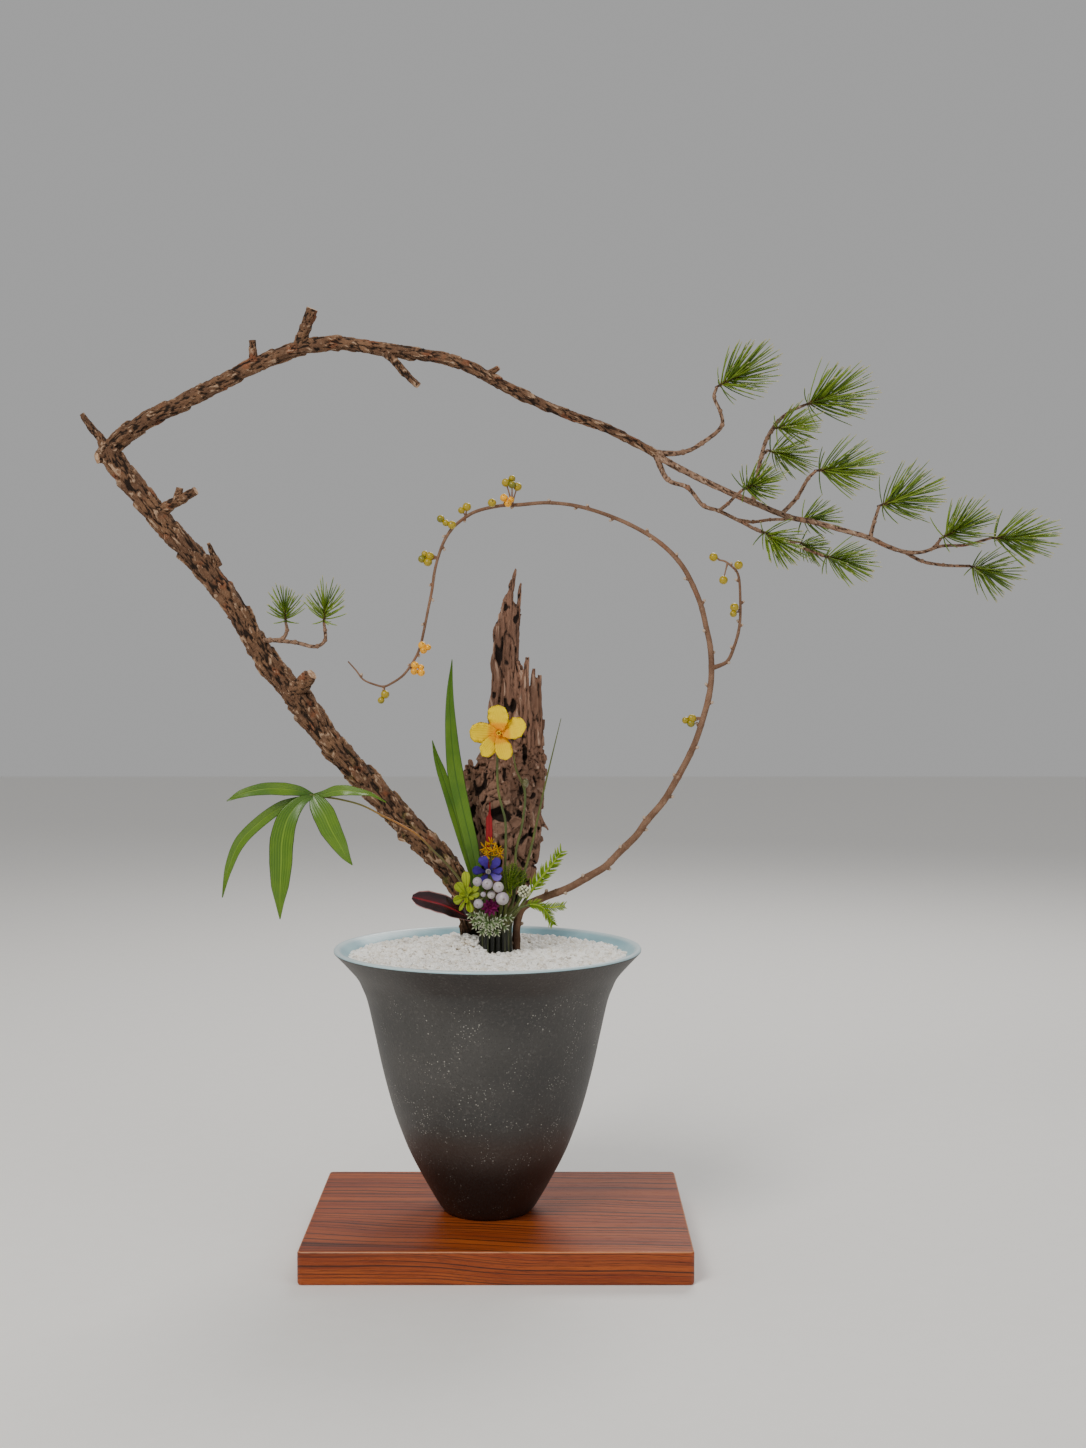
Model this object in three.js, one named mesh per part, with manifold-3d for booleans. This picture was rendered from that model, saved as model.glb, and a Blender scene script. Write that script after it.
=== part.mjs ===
// A standing flower arrangement: a pine branch, a berry vine, driftwood and small flowers
// rise in one tight column from white gravel, in a flared stoneware vase on a wooden board.
// Millimetres, +Z up, the origin at the centre of the board's underside, the front towards -Y.
import * as THREE from 'three';
import { mergeVertices } from 'three/addons/utils/BufferGeometryUtils.js';
import Module from 'manifold-3d';

const wasm = await Module();
wasm.setup();

// Driving dimensions
const BOARD = { width: 303, depth: 227, height: 26, corner: 4, ease: 2 };
const GAP = 0.3;
const VASE_AXIS_X = -9;
const VASE_SEGMENTS = 32;
const OUTER_PROFILE = [
  [35, 26.3], [40.5, 33], [52, 53], [62.5, 73], [69.6, 90], [77.3, 112], [85.3, 142],
  [92.3, 174], [97.8, 198.5], [102, 210], [106.5, 219], [115.5, 229.5], [125, 239.5],
];
const INNER_PROFILE = [
  [122, 242], [111, 233.5], [100, 217], [92.5, 198], [87, 174], [80, 142],
  [72, 112], [64, 89], [54, 70], [43, 53], [33, 42],
];
const LIP_TOP = [124, 242];
const GRAVEL = { edge: 235.8, crown: 236.6, rings: 12, roughness: 1.1, wallGap: 0.5 };
// Heaps and hollows raked in the gravel: x, y, how far each spreads, and its rise
const GRAVEL_SWELLS = [
  [-42, 50, 16, -2.6], [32, 52, 15, -2.6], [-62, -26, 20, -1.4], [58, -38, 22, -1.2], [-8, 78, 24, 1.2],
  [-72, 34, 18, 1.2], [72, 12, 18, 1.1], [-4, -52, 26, 1.3], [-27, 15, 11, 13], [27, 33, 8, -2.2],
];
const WELL = { x: -3, y: 11, radius: 15.4, floor: 205, columnTop: 257 };
const SLOT = { across: 2.3, back: 4.1 };
const STEM_RADIUS = 1.9;
const BLADE_THICKNESS = 0.8;
const NEEDLE = {
  radius: 0.5, shortest: 25, longest: 32, perTuft: 18, core: 21, coreRadius: 1.3,
  tries: 6, nudge: 0.17, turnSway: 0.3, leanSway: 0.08, firstRoot: 0.92, rootSpan: 0.8,
};
const NEEDLE_CLEARANCE = 1.3;
const CLEARANCE_SHARES = [0.25, 0.34, 0.43, 0.52, 0.61, 0.7, 0.79, 0.88, 1];
const TUFT_STANDOFF = 1.6;
const BERRY_RADIUS = 3.75;
const BERRY_STALK = { root: 0.9, end: 0.6 };
const HOLE_TOP = 250;
const HOLE_SIDES = 16;
const STALK_SINK = 1.2;

// Every stem is drawn as it stands in an upright plane just behind the vase's axis, seen from
// here, and is then slid towards or away from this point by its depth
const VIEWPOINT = new THREE.Vector3(36, -1544, 479);
const PLANE_Y = 15;
const FRONT = new THREE.Vector3(0, -1, 0.12).normalize();
const UP = new THREE.Vector3(0, 0, 1);
const CYLINDER_AXIS = new THREE.Vector3(0, 1, 0);

// Materials
const finish = (color, roughness) => new THREE.MeshStandardMaterial({ color, roughness, metalness: 0 });
const wood = finish(0x8a4526, 0.45);
const stoneware = finish(0x353534, 0.6);
const pebbles = finish(0xe8e6df, 0.8);
const bark = finish(0x6b5546, 0.9);
const needles = finish(0x5d8a2a, 0.6);
const vineBark = finish(0x7d5546, 0.75);
const oliveBerry = finish(0xb8a52a, 0.4);
const orangeBerry = finish(0xe89a2c, 0.4);
const driftGrain = finish(0x7a5a4a, 0.9);
const swordGreen = finish(0x4f8a24, 0.5);
const sprayGreen = finish(0x5a9020, 0.35);
const petalYellow = finish(0xffd90a, 0.5);
const stemGreen = finish(0x5c7030, 0.6);
const bladeRed = finish(0xb5121b, 0.4);
const leafMaroon = finish(0x3a1018, 0.3);
const sprayGold = finish(0xe0b020, 0.6);
const petalBlue = finish(0x2c25a8, 0.6);
const fruitPale = finish(0xbcb8ba, 0.4);
const headCream = finish(0xd5d3b8, 0.7);
const petalMagenta = finish(0x7a1050, 0.6);
const leafLime = finish(0xb4c43a, 0.55);
const leafPale = finish(0xb9cc9a, 0.6);
const fernGreen = finish(0x8cbf35, 0.6);

const group = new THREE.Group();

// Seeded draws, the same on each run
function seeded(seed) {
  let state = seed;
  return (low, high) => {
    state = (state * 1664525 + 1013904223) % 4294967296;
    return low + (high - low) * (state / 4294967296);
  };
}

// A fixed draw between -1 and 1 for a pair of whole numbers
function roughAt(a, b) {
  const wave = Math.sin(a * 12.9898 + b * 78.233) * 43758.5453;
  return 2 * (wave - Math.floor(wave)) - 1;
}

// The place of a point drawn at x, z in the plane of the stems and slid to a depth behind it
function at(x, z, depth = 0) {
  const farther = 1 + depth / (PLANE_Y - VIEWPOINT.y);
  return new THREE.Vector3(x, PLANE_Y, z).sub(VIEWPOINT).multiplyScalar(farther).add(VIEWPOINT);
}

// Stations of [x, z, depth, size] as a route of places with sizes
function route(stations) {
  return stations.map(([x, z, depth, size]) => ({ place: at(x, z, depth), size }));
}

// A closed three.js geometry as a solid
function solid(geometry) {
  geometry.deleteAttribute('normal');
  geometry.deleteAttribute('uv');
  const merged = mergeVertices(geometry);
  const corners = [];
  for (let i = 0; i < merged.index.count; i += 3) {
    const [a, b, c] = [0, 1, 2].map((k) => merged.index.getX(i + k));
    if (a !== b && b !== c && c !== a) {
      corners.push(a, b, c);
    }
  }
  return new wasm.Manifold(new wasm.Mesh({
    numProp: 3,
    vertProperties: new Float32Array(merged.attributes.position.array),
    triVerts: new Uint32Array(corners),
  }));
}

function fuse(solids) {
  return solids.reduce((whole, piece) => whole.add(piece));
}

// Adds a solid to the arrangement as one named mesh
function place(name, body, material) {
  const cut = body.getMesh();
  const geometry = new THREE.BufferGeometry();
  geometry.setAttribute('position', new THREE.BufferAttribute(cut.vertProperties, cut.numProp));
  geometry.setIndex(new THREE.BufferAttribute(cut.triVerts, 1));
  geometry.computeVertexNormals();
  const mesh = new THREE.Mesh(geometry, material);
  mesh.name = name;
  group.add(mesh);
}

// The curve through a route, with the route's size at each share of its length
function follow(stops) {
  const curve = new THREE.CatmullRomCurve3(stops.map((stop) => stop.place), false, 'centripetal');
  const sizeAt = (share) => {
    const index = curve.getUtoTmapping(share) * (stops.length - 1);
    const before = Math.min(Math.floor(index), stops.length - 2);
    return THREE.MathUtils.lerp(stops[before].size, stops[before + 1].size, index - before);
  };
  return { curve, sizeAt };
}

// A round limb along a route whose sizes are its radii, or a limb made thinner from front to back
function limb(stops, { sides = 5, step = 20, relief = () => 0, thinning = 1 } = {}) {
  const { curve, sizeAt } = follow(stops);
  const rings = Math.max(2, Math.round(curve.getLength() / step));
  const frames = curve.computeFrenetFrames(rings);
  const geometry = new THREE.CylinderGeometry(1, 1, 1, sides, rings);
  const corners = geometry.attributes.position;
  const corner = new THREE.Vector3();
  for (let i = 0; i < corners.count; i++) {
    corner.fromBufferAttribute(corners, i);
    const ring = Math.round((corner.y + 0.5) * rings);
    const turn = Math.atan2(corner.z, corner.x) / (2 * Math.PI) + 1;
    const side = Math.round(turn * sides) % sides;
    const radius = sizeAt(ring / rings) * (1 + relief(ring, side));
    const offset = frames.normals[ring].clone().multiplyScalar(corner.x * radius);
    offset.addScaledVector(frames.binormals[ring], -corner.z * radius);
    const spot = curve.getPointAt(ring / rings);
    corners.setXYZ(i, spot.x + offset.x, spot.y + offset.y * thinning, spot.z + offset.z);
  }
  return solid(geometry);
}

// Gives an open sheet a thickness, with the same triangles on both faces and a wall round it
function thicken(sheet, thickness) {
  sheet.computeVertexNormals();
  const { position, normal } = sheet.attributes;
  const count = position.count;
  const places = new Float32Array(count * 6);
  for (let i = 0; i < count; i++) {
    for (let axis = 0; axis < 3; axis++) {
      const middle = position.getComponent(i, axis);
      const lift = normal.getComponent(i, axis) * thickness / 2;
      places[i * 3 + axis] = middle + lift;
      places[(count + i) * 3 + axis] = middle - lift;
    }
  }
  const index = Array.from(sheet.index.array);
  const edges = new Set();
  const triangles = [];
  for (let i = 0; i < index.length; i += 3) {
    const [a, b, c] = index.slice(i, i + 3);
    triangles.push(a, b, c, count + a, count + c, count + b);
    [[a, b], [b, c], [c, a]].forEach(([from, to]) => edges.add(`${from} ${to}`));
  }
  for (const edge of edges) {
    const [from, to] = edge.split(' ').map(Number);
    if (!edges.has(`${to} ${from}`)) {
      triangles.push(count + from, count + to, to, count + from, to, from);
    }
  }
  const body = new THREE.BufferGeometry();
  body.setAttribute('position', new THREE.BufferAttribute(places, 3));
  body.setIndex(triangles);
  return body;
}

// A leaf, petal or strap along a route whose sizes are its half widths, folded along its midrib
function blade(stops, { steps = 8, across = 2, fold = 0.25, facing = FRONT } = {}) {
  const { curve, sizeAt } = follow(stops);
  const sheet = new THREE.PlaneGeometry(2, 1, across, steps);
  const corners = sheet.attributes.position;
  for (let i = 0; i < corners.count; i++) {
    const share = corners.getY(i) + 0.5;
    const offset = corners.getX(i) * sizeAt(share);
    const along = curve.getTangentAt(share);
    const sideways = new THREE.Vector3().crossVectors(along, facing).normalize();
    const outward = new THREE.Vector3().crossVectors(sideways, along);
    const spot = curve.getPointAt(share);
    spot.addScaledVector(sideways, offset).addScaledVector(outward, Math.abs(offset) * fold);
    corners.setXYZ(i, spot.x, spot.y, spot.z);
  }
  return solid(thicken(sheet, BLADE_THICKNESS));
}

// A pointed spike from a root along a direction
function spike(root, direction, length, radius, sides = 3) {
  const geometry = new THREE.ConeGeometry(radius, length, sides);
  geometry.translate(0, length / 2, 0);
  geometry.applyQuaternion(new THREE.Quaternion().setFromUnitVectors(CYLINDER_AXIS, direction));
  geometry.translate(root.x, root.y, root.z);
  return solid(geometry);
}

// A round bead, drawn out along its axis
function bead(centre, radius, stretch = 1, around = 6, tall = 4, axis = UP) {
  const geometry = new THREE.SphereGeometry(radius, around, tall);
  geometry.scale(1, stretch, 1);
  geometry.applyQuaternion(new THREE.Quaternion().setFromUnitVectors(CYLINDER_AXIS, axis));
  geometry.translate(centre.x, centre.y, centre.z);
  return solid(geometry);
}

// An upright round plug, used to cut plain holes
function plug(x, y, radius, bottom, top) {
  const geometry = new THREE.CylinderGeometry(radius, radius, top - bottom, HOLE_SIDES);
  geometry.rotateX(Math.PI / 2);
  geometry.translate(x, y, (top + bottom) / 2);
  return solid(geometry);
}

// The board, with eased edges
function board() {
  const half = { x: BOARD.width / 2 - BOARD.ease, y: BOARD.depth / 2 - BOARD.ease };
  const outline = new THREE.Shape();
  outline.absarc(half.x - BOARD.corner, half.y - BOARD.corner, BOARD.corner, 0, Math.PI / 2);
  outline.absarc(BOARD.corner - half.x, half.y - BOARD.corner, BOARD.corner, Math.PI / 2, Math.PI);
  outline.absarc(BOARD.corner - half.x, BOARD.corner - half.y, BOARD.corner, Math.PI, 1.5 * Math.PI);
  outline.absarc(half.x - BOARD.corner, BOARD.corner - half.y, BOARD.corner, 1.5 * Math.PI, 2 * Math.PI);
  const geometry = new THREE.ExtrudeGeometry(outline, {
    depth: BOARD.height - 2 * BOARD.ease,
    bevelSize: BOARD.ease,
    bevelThickness: BOARD.ease,
    bevelSegments: 1,
    curveSegments: 1,
  });
  geometry.translate(0, 0, BOARD.ease);
  place('board', solid(geometry), wood);
}

// A body turned round the vase's axis from a profile of [radius, height]
function turned(profile) {
  const geometry = new THREE.LatheGeometry(profile, VASE_SEGMENTS);
  geometry.rotateX(Math.PI / 2);
  geometry.translate(VASE_AXIS_X, 0, 0);
  return geometry;
}

function smoothProfile(points, divisions) {
  return new THREE.SplineCurve(points.map(([r, z]) => new THREE.Vector2(r, z))).getPoints(divisions);
}

const innerWall = smoothProfile(INNER_PROFILE, 6);

function vase() {
  const outerWall = smoothProfile(OUTER_PROFILE, 10);
  const foot = new THREE.Vector2(0, OUTER_PROFILE[0][1]);
  const floor = new THREE.Vector2(0, INNER_PROFILE.at(-1)[1]);
  const profile = [foot, ...outerWall, new THREE.Vector2(...LIP_TOP), ...innerWall, floor];
  place('vase', solid(turned(profile)), stoneware);
}

function gravelRise(x, y) {
  return GRAVEL_SWELLS.reduce((rise, [atX, atY, spread, height]) => {
    const away = Math.hypot(x - atX, y - atY) / spread;
    return rise + height * Math.exp(-away * away / 2);
  }, GRAVEL.roughness * roughAt(Math.round(x), Math.round(y)));
}

// Gravel fills the vase, raked and rough on top, with a well for the column of stems and a hole
// for each woody foot
function gravel(feet) {
  const below = innerWall.findIndex((point) => point.y < GRAVEL.edge);
  const [over, under] = [innerWall[below - 1], innerWall[below]];
  const shore = under.clone().lerp(over, (GRAVEL.edge - under.y) / (over.y - under.y));
  const wall = [shore, ...innerWall.slice(below)].reverse();
  wall.forEach((point, i) => {
    wall[i] = new THREE.Vector2(point.x - GRAVEL.wallGap, point.y + GAP);
  });
  const edge = wall.at(-1).x;
  const top = [];
  for (let ring = 0; ring <= GRAVEL.rings; ring++) {
    const radius = edge * (1 - ring / GRAVEL.rings);
    top.push(new THREE.Vector2(radius, THREE.MathUtils.lerp(GRAVEL.crown, GRAVEL.edge, radius / edge)));
  }
  const geometry = turned([new THREE.Vector2(0, wall[0].y), ...wall, ...top]);
  const corners = geometry.attributes.position;
  for (let i = 0; i < corners.count; i++) {
    const [x, y, z] = [corners.getX(i), corners.getY(i), corners.getZ(i)];
    const inside = Math.hypot(x - VASE_AXIS_X, y) < edge - 1;
    if (z > GRAVEL.edge && inside) {
      corners.setZ(i, z + gravelRise(x, y));
    }
  }
  const holes = feet.map((foot) => plug(foot.x, foot.y, foot.radius, foot.bottom - GAP, HOLE_TOP));
  const well = plug(WELL.x, WELL.y, WELL.radius, WELL.floor, HOLE_TOP);
  place('gravel', [...holes, well].reduce((bed, hole) => bed.subtract(hole), solid(geometry)), pebbles);
}

// Twigs and needles already in place, which later needles keep clear of
const taken = [];

function take(stops) {
  for (let i = 1; i < stops.length; i++) {
    const reach = Math.max(stops[i - 1].size, stops[i].size);
    taken.push({ line: new THREE.Line3(stops[i - 1].place, stops[i].place), reach });
  }
}

function isClear(root, tip) {
  const spot = new THREE.Vector3();
  const nearest = new THREE.Vector3();
  return CLEARANCE_SHARES.every((share) => {
    spot.lerpVectors(root, tip, share);
    return taken.every(({ line, reach }) => {
      line.closestPointToPoint(spot, true, nearest);
      return nearest.distanceTo(spot) > reach + NEEDLE_CLEARANCE;
    });
  });
}

// The pine branch: trunk, arch, bough, cut stubs and the twigs that carry needles
const PINE_FOOT = { x: -23, y: 27, radius: 9.6, bottom: 200 };
const PINE_TRUNK = [
  [-23.8, 258.1, 12, 8.2], [-28.7, 278.6, 13, 9.6], [-40.2, 302.3, 14, 10.8], [-58.2, 322.8, 15, 11],
  [-77.1, 341.7, 16, 10.8], [-104.1, 371.2, 18, 10.5], [-134.5, 403.2, 20, 10.2], [-147.6, 419.6, 21, 10],
  [-160.7, 438.5, 22, 11.2], [-177.1, 459, 23, 10], [-189.4, 473.7, 24, 9.6], [-202.5, 495, 25, 9.6],
  [-214, 515.5, 25.5, 9.5], [-231.2, 538.5, 26, 9.4], [-249.3, 560.6, 27, 9.4], [-267.3, 580.3, 28, 9.3],
  [-282.1, 597.5, 28.5, 9.3], [-292.7, 610.7, 29, 9.2], [-310, 632, 30, 9], [-319, 645.9, 30, 8.6],
];
const PINE_ARCH = [
  [-323.1, 640.2, 30, 8], [-309.1, 655.8, 30, 7.8], [-288.6, 670.5, 29, 7.2], [-258.3, 685.3, 27, 6.8],
  [-229.6, 700, 25, 6.6], [-199.3, 715.6, 22, 6.4], [-168.1, 727.9, 19, 6.3], [-146.8, 732.8, 17, 6.2],
  [-129.6, 733.7, 15, 6], [-99.2, 729.6, 12, 5.7], [-74.6, 726.3, 10, 5.4], [-39.4, 719.7, 7, 5.1],
  [-22.1, 713.2, 5, 4.9], [-4.9, 704.1, 3, 4.8], [12.3, 695.1, 1, 4.6], [29.5, 686.9, -1, 4.4],
  [46.7, 679.5, -3, 4.2], [64, 673, -5, 4], [81.2, 667.2, -8, 3.9], [98.4, 659.9, -10, 3.7],
  [115.6, 650.8, -13, 3.5], [128.7, 643.5, -15, 3.3],
];
const PINE_BOUGH = [
  [122.2, 647.6, -14, 3.3], [138.6, 636.9, -16, 3], [159.1, 626.2, -18, 2.7], [185.3, 613.9, -21, 2.5],
  [209.9, 603.3, -24, 2.4], [237, 592.6, -27, 2.3], [256.7, 588.5, -29, 2.2], [277.2, 582.8, -31, 2.1],
  [303.4, 575.4, -33, 2], [317.3, 568.8, -34, 1.9], [332.9, 563.9, -35, 1.7], [346, 563.9, -36, 1.5],
  [361.6, 568.8, -37, 1.3], [381.3, 569.7, -38, 1.2], [402.6, 575.4, -39, 1.1],
];
const PINE_STUBS = [
  [[-320.6, 645.9, 30, 5.5], [-324.7, 655.8, 30, 3.8], [-332.9, 665.6, 29, 3], [-340.3, 676.3, 28, 2.2]],
  [[-319, 642.6, 30, 7], [-328.8, 641, 28, 4.2]],
  [[-199.3, 715.6, 22, 4.6], [-200.1, 725.5, 21, 3.4], [-200.9, 736.1, 20, 3]],
  [[-164, 727.1, 19, 6], [-159.9, 739.4, 17, 5.3], [-155.8, 750.9, 15, 4.9], [-151.7, 761.5, 13, 5.1]],
  [[-95.9, 730.4, 12, 4.6], [-85.3, 719.7, 9, 3.5], [-75.4, 708.2, 6, 3.1], [-65.6, 699.2, 4, 2.8]],
  [[-279.6, 593.4, 28, 6.5], [-268.1, 602.5, 23, 4.8], [-257.5, 608.2, 19, 4.1], [-247.6, 613.9, 16, 3.4]],
  [[-263.2, 604.9, 21, 4.2], [-260.8, 616.4, 20, 2.6]],
  [[-229.6, 552.4, 26, 4], [-237.8, 571.3, 20, 1.5]],
  [[-169.7, 447.5, 20, 8.5], [-159.9, 457.3, 14, 7], [-153.3, 463.9, 10, 5.2]],
  [[-12.3, 705.8, 4, 3.6], [0, 714, 0, 2]],
  [[-77.1, 337.6, 10, 8], [-80.4, 327.8, 5, 3.6]],
];
const PINE_TWIGS = {
  trunk_left: {
    size: 0.6,
    way: [-0.05, -0.1, 1],
    stations: [
      [-194.3, 491.8, 24, 3], [-187.8, 491.8, 19, 1.9], [-177.1, 493.4, 14, 1.7],
      [-173.8, 500, 12, 1.5], [-174.7, 506.5, 11, 1.2],
    ],
  },
  trunk_right: {
    size: 0.66,
    way: [0.1, -0.1, 1],
    stations: [
      [-184.5, 491.8, 17, 1.9], [-167.3, 490.1, 10, 1.7], [-149.2, 486.8, 4, 1.6],
      [-142.7, 491.8, 2, 1.5], [-142.7, 500, 1, 1.4], [-143.5, 506.5, 0, 1.2],
    ],
  },
  rising: {
    size: 1.05,
    way: [0.8, -0.25, 0.4],
    stations: [
      [127.1, 644.3, -15, 3], [150.1, 645.1, -20, 2], [165.6, 652.5, -24, 1.8],
      [182, 667.2, -28, 1.6], [180.4, 678.7, -30, 1.5], [175.5, 690.2, -31, 1.4],
      [177.9, 698.4, -32, 1.2],
    ],
  },
  crown: {
    size: 1.12,
    way: [1, -0.1, 0.3],
    stations: [
      [207.5, 604.1, -24, 2.2], [210.7, 623, -20, 1.8], [214, 641, -16, 1.7],
      [218.9, 656.6, -13, 1.6], [228, 670.5, -11, 1.5], [238.6, 678.7, -10, 1.4],
      [249.3, 683.6, -9, 1.2],
    ],
  },
  crown_near: {
    size: 0.76,
    way: [0.9, -0.45, 0.06],
    stations: [[218.9, 656.6, -13, 1.5], [222.2, 661.5, -20, 1.3], [224.7, 664.8, -27, 1.1]],
  },
  crown_far: {
    size: 0.88,
    way: [0.85, 0.5, -0.12],
    stations: [[214.8, 642.6, -16, 1.5], [217.3, 645.1, -8, 1.3], [219.8, 646.7, 1, 1.1]],
  },
  middle: {
    size: 1.03,
    way: [1, -0.1, 0.06],
    stations: [
      [231.2, 595.1, -26, 2], [243.5, 608.2, -29, 1.6], [252.6, 623.8, -31, 1.4],
      [259.1, 630.3, -32, 1.2],
    ],
  },
  fork_high: {
    size: 0.82,
    way: [0.5, -0.7, 0.18],
    stations: [
      [179.6, 597.5, -8, 1.6], [187, 603.3, -20, 1.4], [193.5, 609.8, -32, 1.3],
      [199.3, 614.8, -36, 1.2],
    ],
  },
  fork_far: {
    size: 0.7,
    way: [1, 0.35, 0.04],
    stations: [
      [195.2, 590.2, -8, 1.5], [207.5, 588.5, -4, 1.4], [221.4, 590.2, 0, 1.3], [246, 591, 4, 1.2],
    ],
  },
  fork_low: {
    size: 0.84,
    way: [0.6, -0.5, -0.5],
    stations: [[201.7, 586.9, -8, 1.4], [209.1, 582.8, -18, 1.3], [214.8, 581.1, -24, 1.2]],
  },
  under_far: {
    size: 0.62,
    way: [0.9, 0.55, -0.4],
    stations: [[228.8, 575.4, -13, 1.4], [237.8, 572.9, -4, 1.3], [246, 572.1, 4, 1.1]],
  },
  under: {
    size: 0.84,
    way: [0.95, -0.15, -0.22],
    stations: [
      [127.9, 643.5, -15, 3], [137.8, 623, -11, 1.9], [154.2, 616.4, -10, 1.8],
      [167.3, 601.6, -9, 1.7], [179.6, 597.5, -8, 1.6], [196.8, 589.3, -8, 1.5],
      [210.7, 582, -10, 1.4], [228.8, 575.4, -13, 1.4], [246.8, 568, -16, 1.3],
      [265.7, 560.6, -18, 1.2],
    ],
  },
  upper_end: {
    size: 1.08,
    way: [0.85, 0.1, 0.3],
    stations: [[303.4, 575.4, -33, 1.9], [306.7, 588.5, -30, 1.5], [310.8, 601.6, -27, 1.2]],
  },
  near_end: {
    size: 0.9,
    way: [0.8, -0.45, 0.46],
    stations: [[353.4, 565.6, -36, 1.4], [358.3, 570.5, -44, 1.3], [361.6, 575.4, -49, 1.2]],
  },
  lower_end: {
    size: 0.9,
    way: [0.85, 0.3, -0.22],
    stations: [
      [332.1, 563.9, -35, 1.6], [346, 556.5, -30, 1.4], [363.3, 553.3, -26, 1.3],
      [385.4, 552.4, -23, 1.2],
    ],
  },
};
const BOUGH_END = { way: [1, -0.1, 0.02], stations: PINE_BOUGH };

// Thick limbs carry raised bark plates, which alternate round and along them
function barkRelief(depth) {
  return (ring, side) => depth * ((ring + side) % 2 ? 0.6 : -0.4) + depth * roughAt(ring, side);
}

function pineBranch() {
  const foot = [PINE_FOOT.bottom, 225, 243].map((z, i) => ({
    place: new THREE.Vector3(PINE_FOOT.x, PINE_FOOT.y, z),
    size: 7 + i * 0.4,
  }));
  const twigs = Object.values(PINE_TWIGS).map((twig) => twig.stations);
  const limbs = [
    limb([...foot, ...route(PINE_TRUNK)], { sides: 7, step: 14, relief: barkRelief(0.11) }),
    limb(route(PINE_ARCH), { sides: 6, step: 17, relief: barkRelief(0.09) }),
    limb(route(PINE_BOUGH), { sides: 5, step: 20, relief: barkRelief(0.06) }),
    bead(at(-319.8, 643.5, 30), 9.4, 1, 6, 4),
    ...PINE_STUBS.map((stub) => limb(route(stub), { sides: 5, step: 18, relief: barkRelief(0.06) })),
    ...twigs.map((stations) => limb(route(stations), { sides: 4, step: 24 })),
  ];
  [PINE_TRUNK, PINE_ARCH, PINE_BOUGH, ...PINE_STUBS, ...twigs].forEach((stations) => take(route(stations)));
  place('pine_branch', fuse(limbs), bark);
}

const GOLDEN_TURN = Math.PI * (3 - Math.sqrt(5));
const NEEDLE_SPREAD = [0.14, 1.02];

// One needle's root and tip: the turn runs evenly round the axis, the lean grows towards the
// tuft's base
function needleLine(base, axis, number, draw, size) {
  const share = (number + 0.5) / NEEDLE.perTuft;
  const side = new THREE.Vector3().crossVectors(axis, UP);
  side.normalize().applyAxisAngle(axis, number * GOLDEN_TURN + draw(-NEEDLE.turnSway, NEEDLE.turnSway));
  const evenLean = THREE.MathUtils.lerp(...NEEDLE_SPREAD, Math.sqrt(share));
  const lean = evenLean + draw(-NEEDLE.leanSway, NEEDLE.leanSway);
  const up = NEEDLE.core * size * (NEEDLE.firstRoot - NEEDLE.rootSpan * share);
  const root = base.clone().addScaledVector(axis, up);
  const direction = axis.clone().multiplyScalar(Math.cos(lean)).addScaledVector(side, Math.sin(lean));
  const length = size * draw(NEEDLE.shortest, NEEDLE.longest);
  return { root, direction, length, tip: root.clone().addScaledVector(direction, length) };
}

// A tuft stands just off the end of its twig, and the more it leans the further off it starts
function pineTuft(name, { way, stations, size = 1 }, seed) {
  const draw = seeded(seed);
  const axis = new THREE.Vector3(...way).normalize();
  const [before, end] = route(stations.slice(-2));
  const lean = end.place.clone().sub(before.place).angleTo(axis);
  const start = end.place.clone().addScaledVector(axis, GAP + TUFT_STANDOFF * Math.sin(lean) * end.size);
  const core = [
    { place: start, size: NEEDLE.coreRadius * 0.7 },
    { place: start.clone().addScaledVector(axis, NEEDLE.core * size * 0.5), size: NEEDLE.coreRadius },
    { place: start.clone().addScaledVector(axis, NEEDLE.core * size), size: NEEDLE.coreRadius * 0.5 },
  ];
  const lines = [];
  for (let number = 0; number < NEEDLE.perTuft; number++) {
    for (let attempt = 0; attempt < NEEDLE.tries; attempt++) {
      const line = needleLine(start, axis, number + NEEDLE.nudge * attempt, draw, size);
      if (isClear(line.root, line.tip)) {
        lines.push(line);
        break;
      }
    }
  }
  const spikes = lines.map((line) => spike(line.root, line.direction, line.length, NEEDLE.radius));
  lines.forEach((line) => take([{ place: line.root, size: NEEDLE.radius }, { place: line.tip, size: 0 }]));
  take(core);
  place(name, fuse([limb(core, { sides: 4, step: 30 }), ...spikes]), needles);
}

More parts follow.
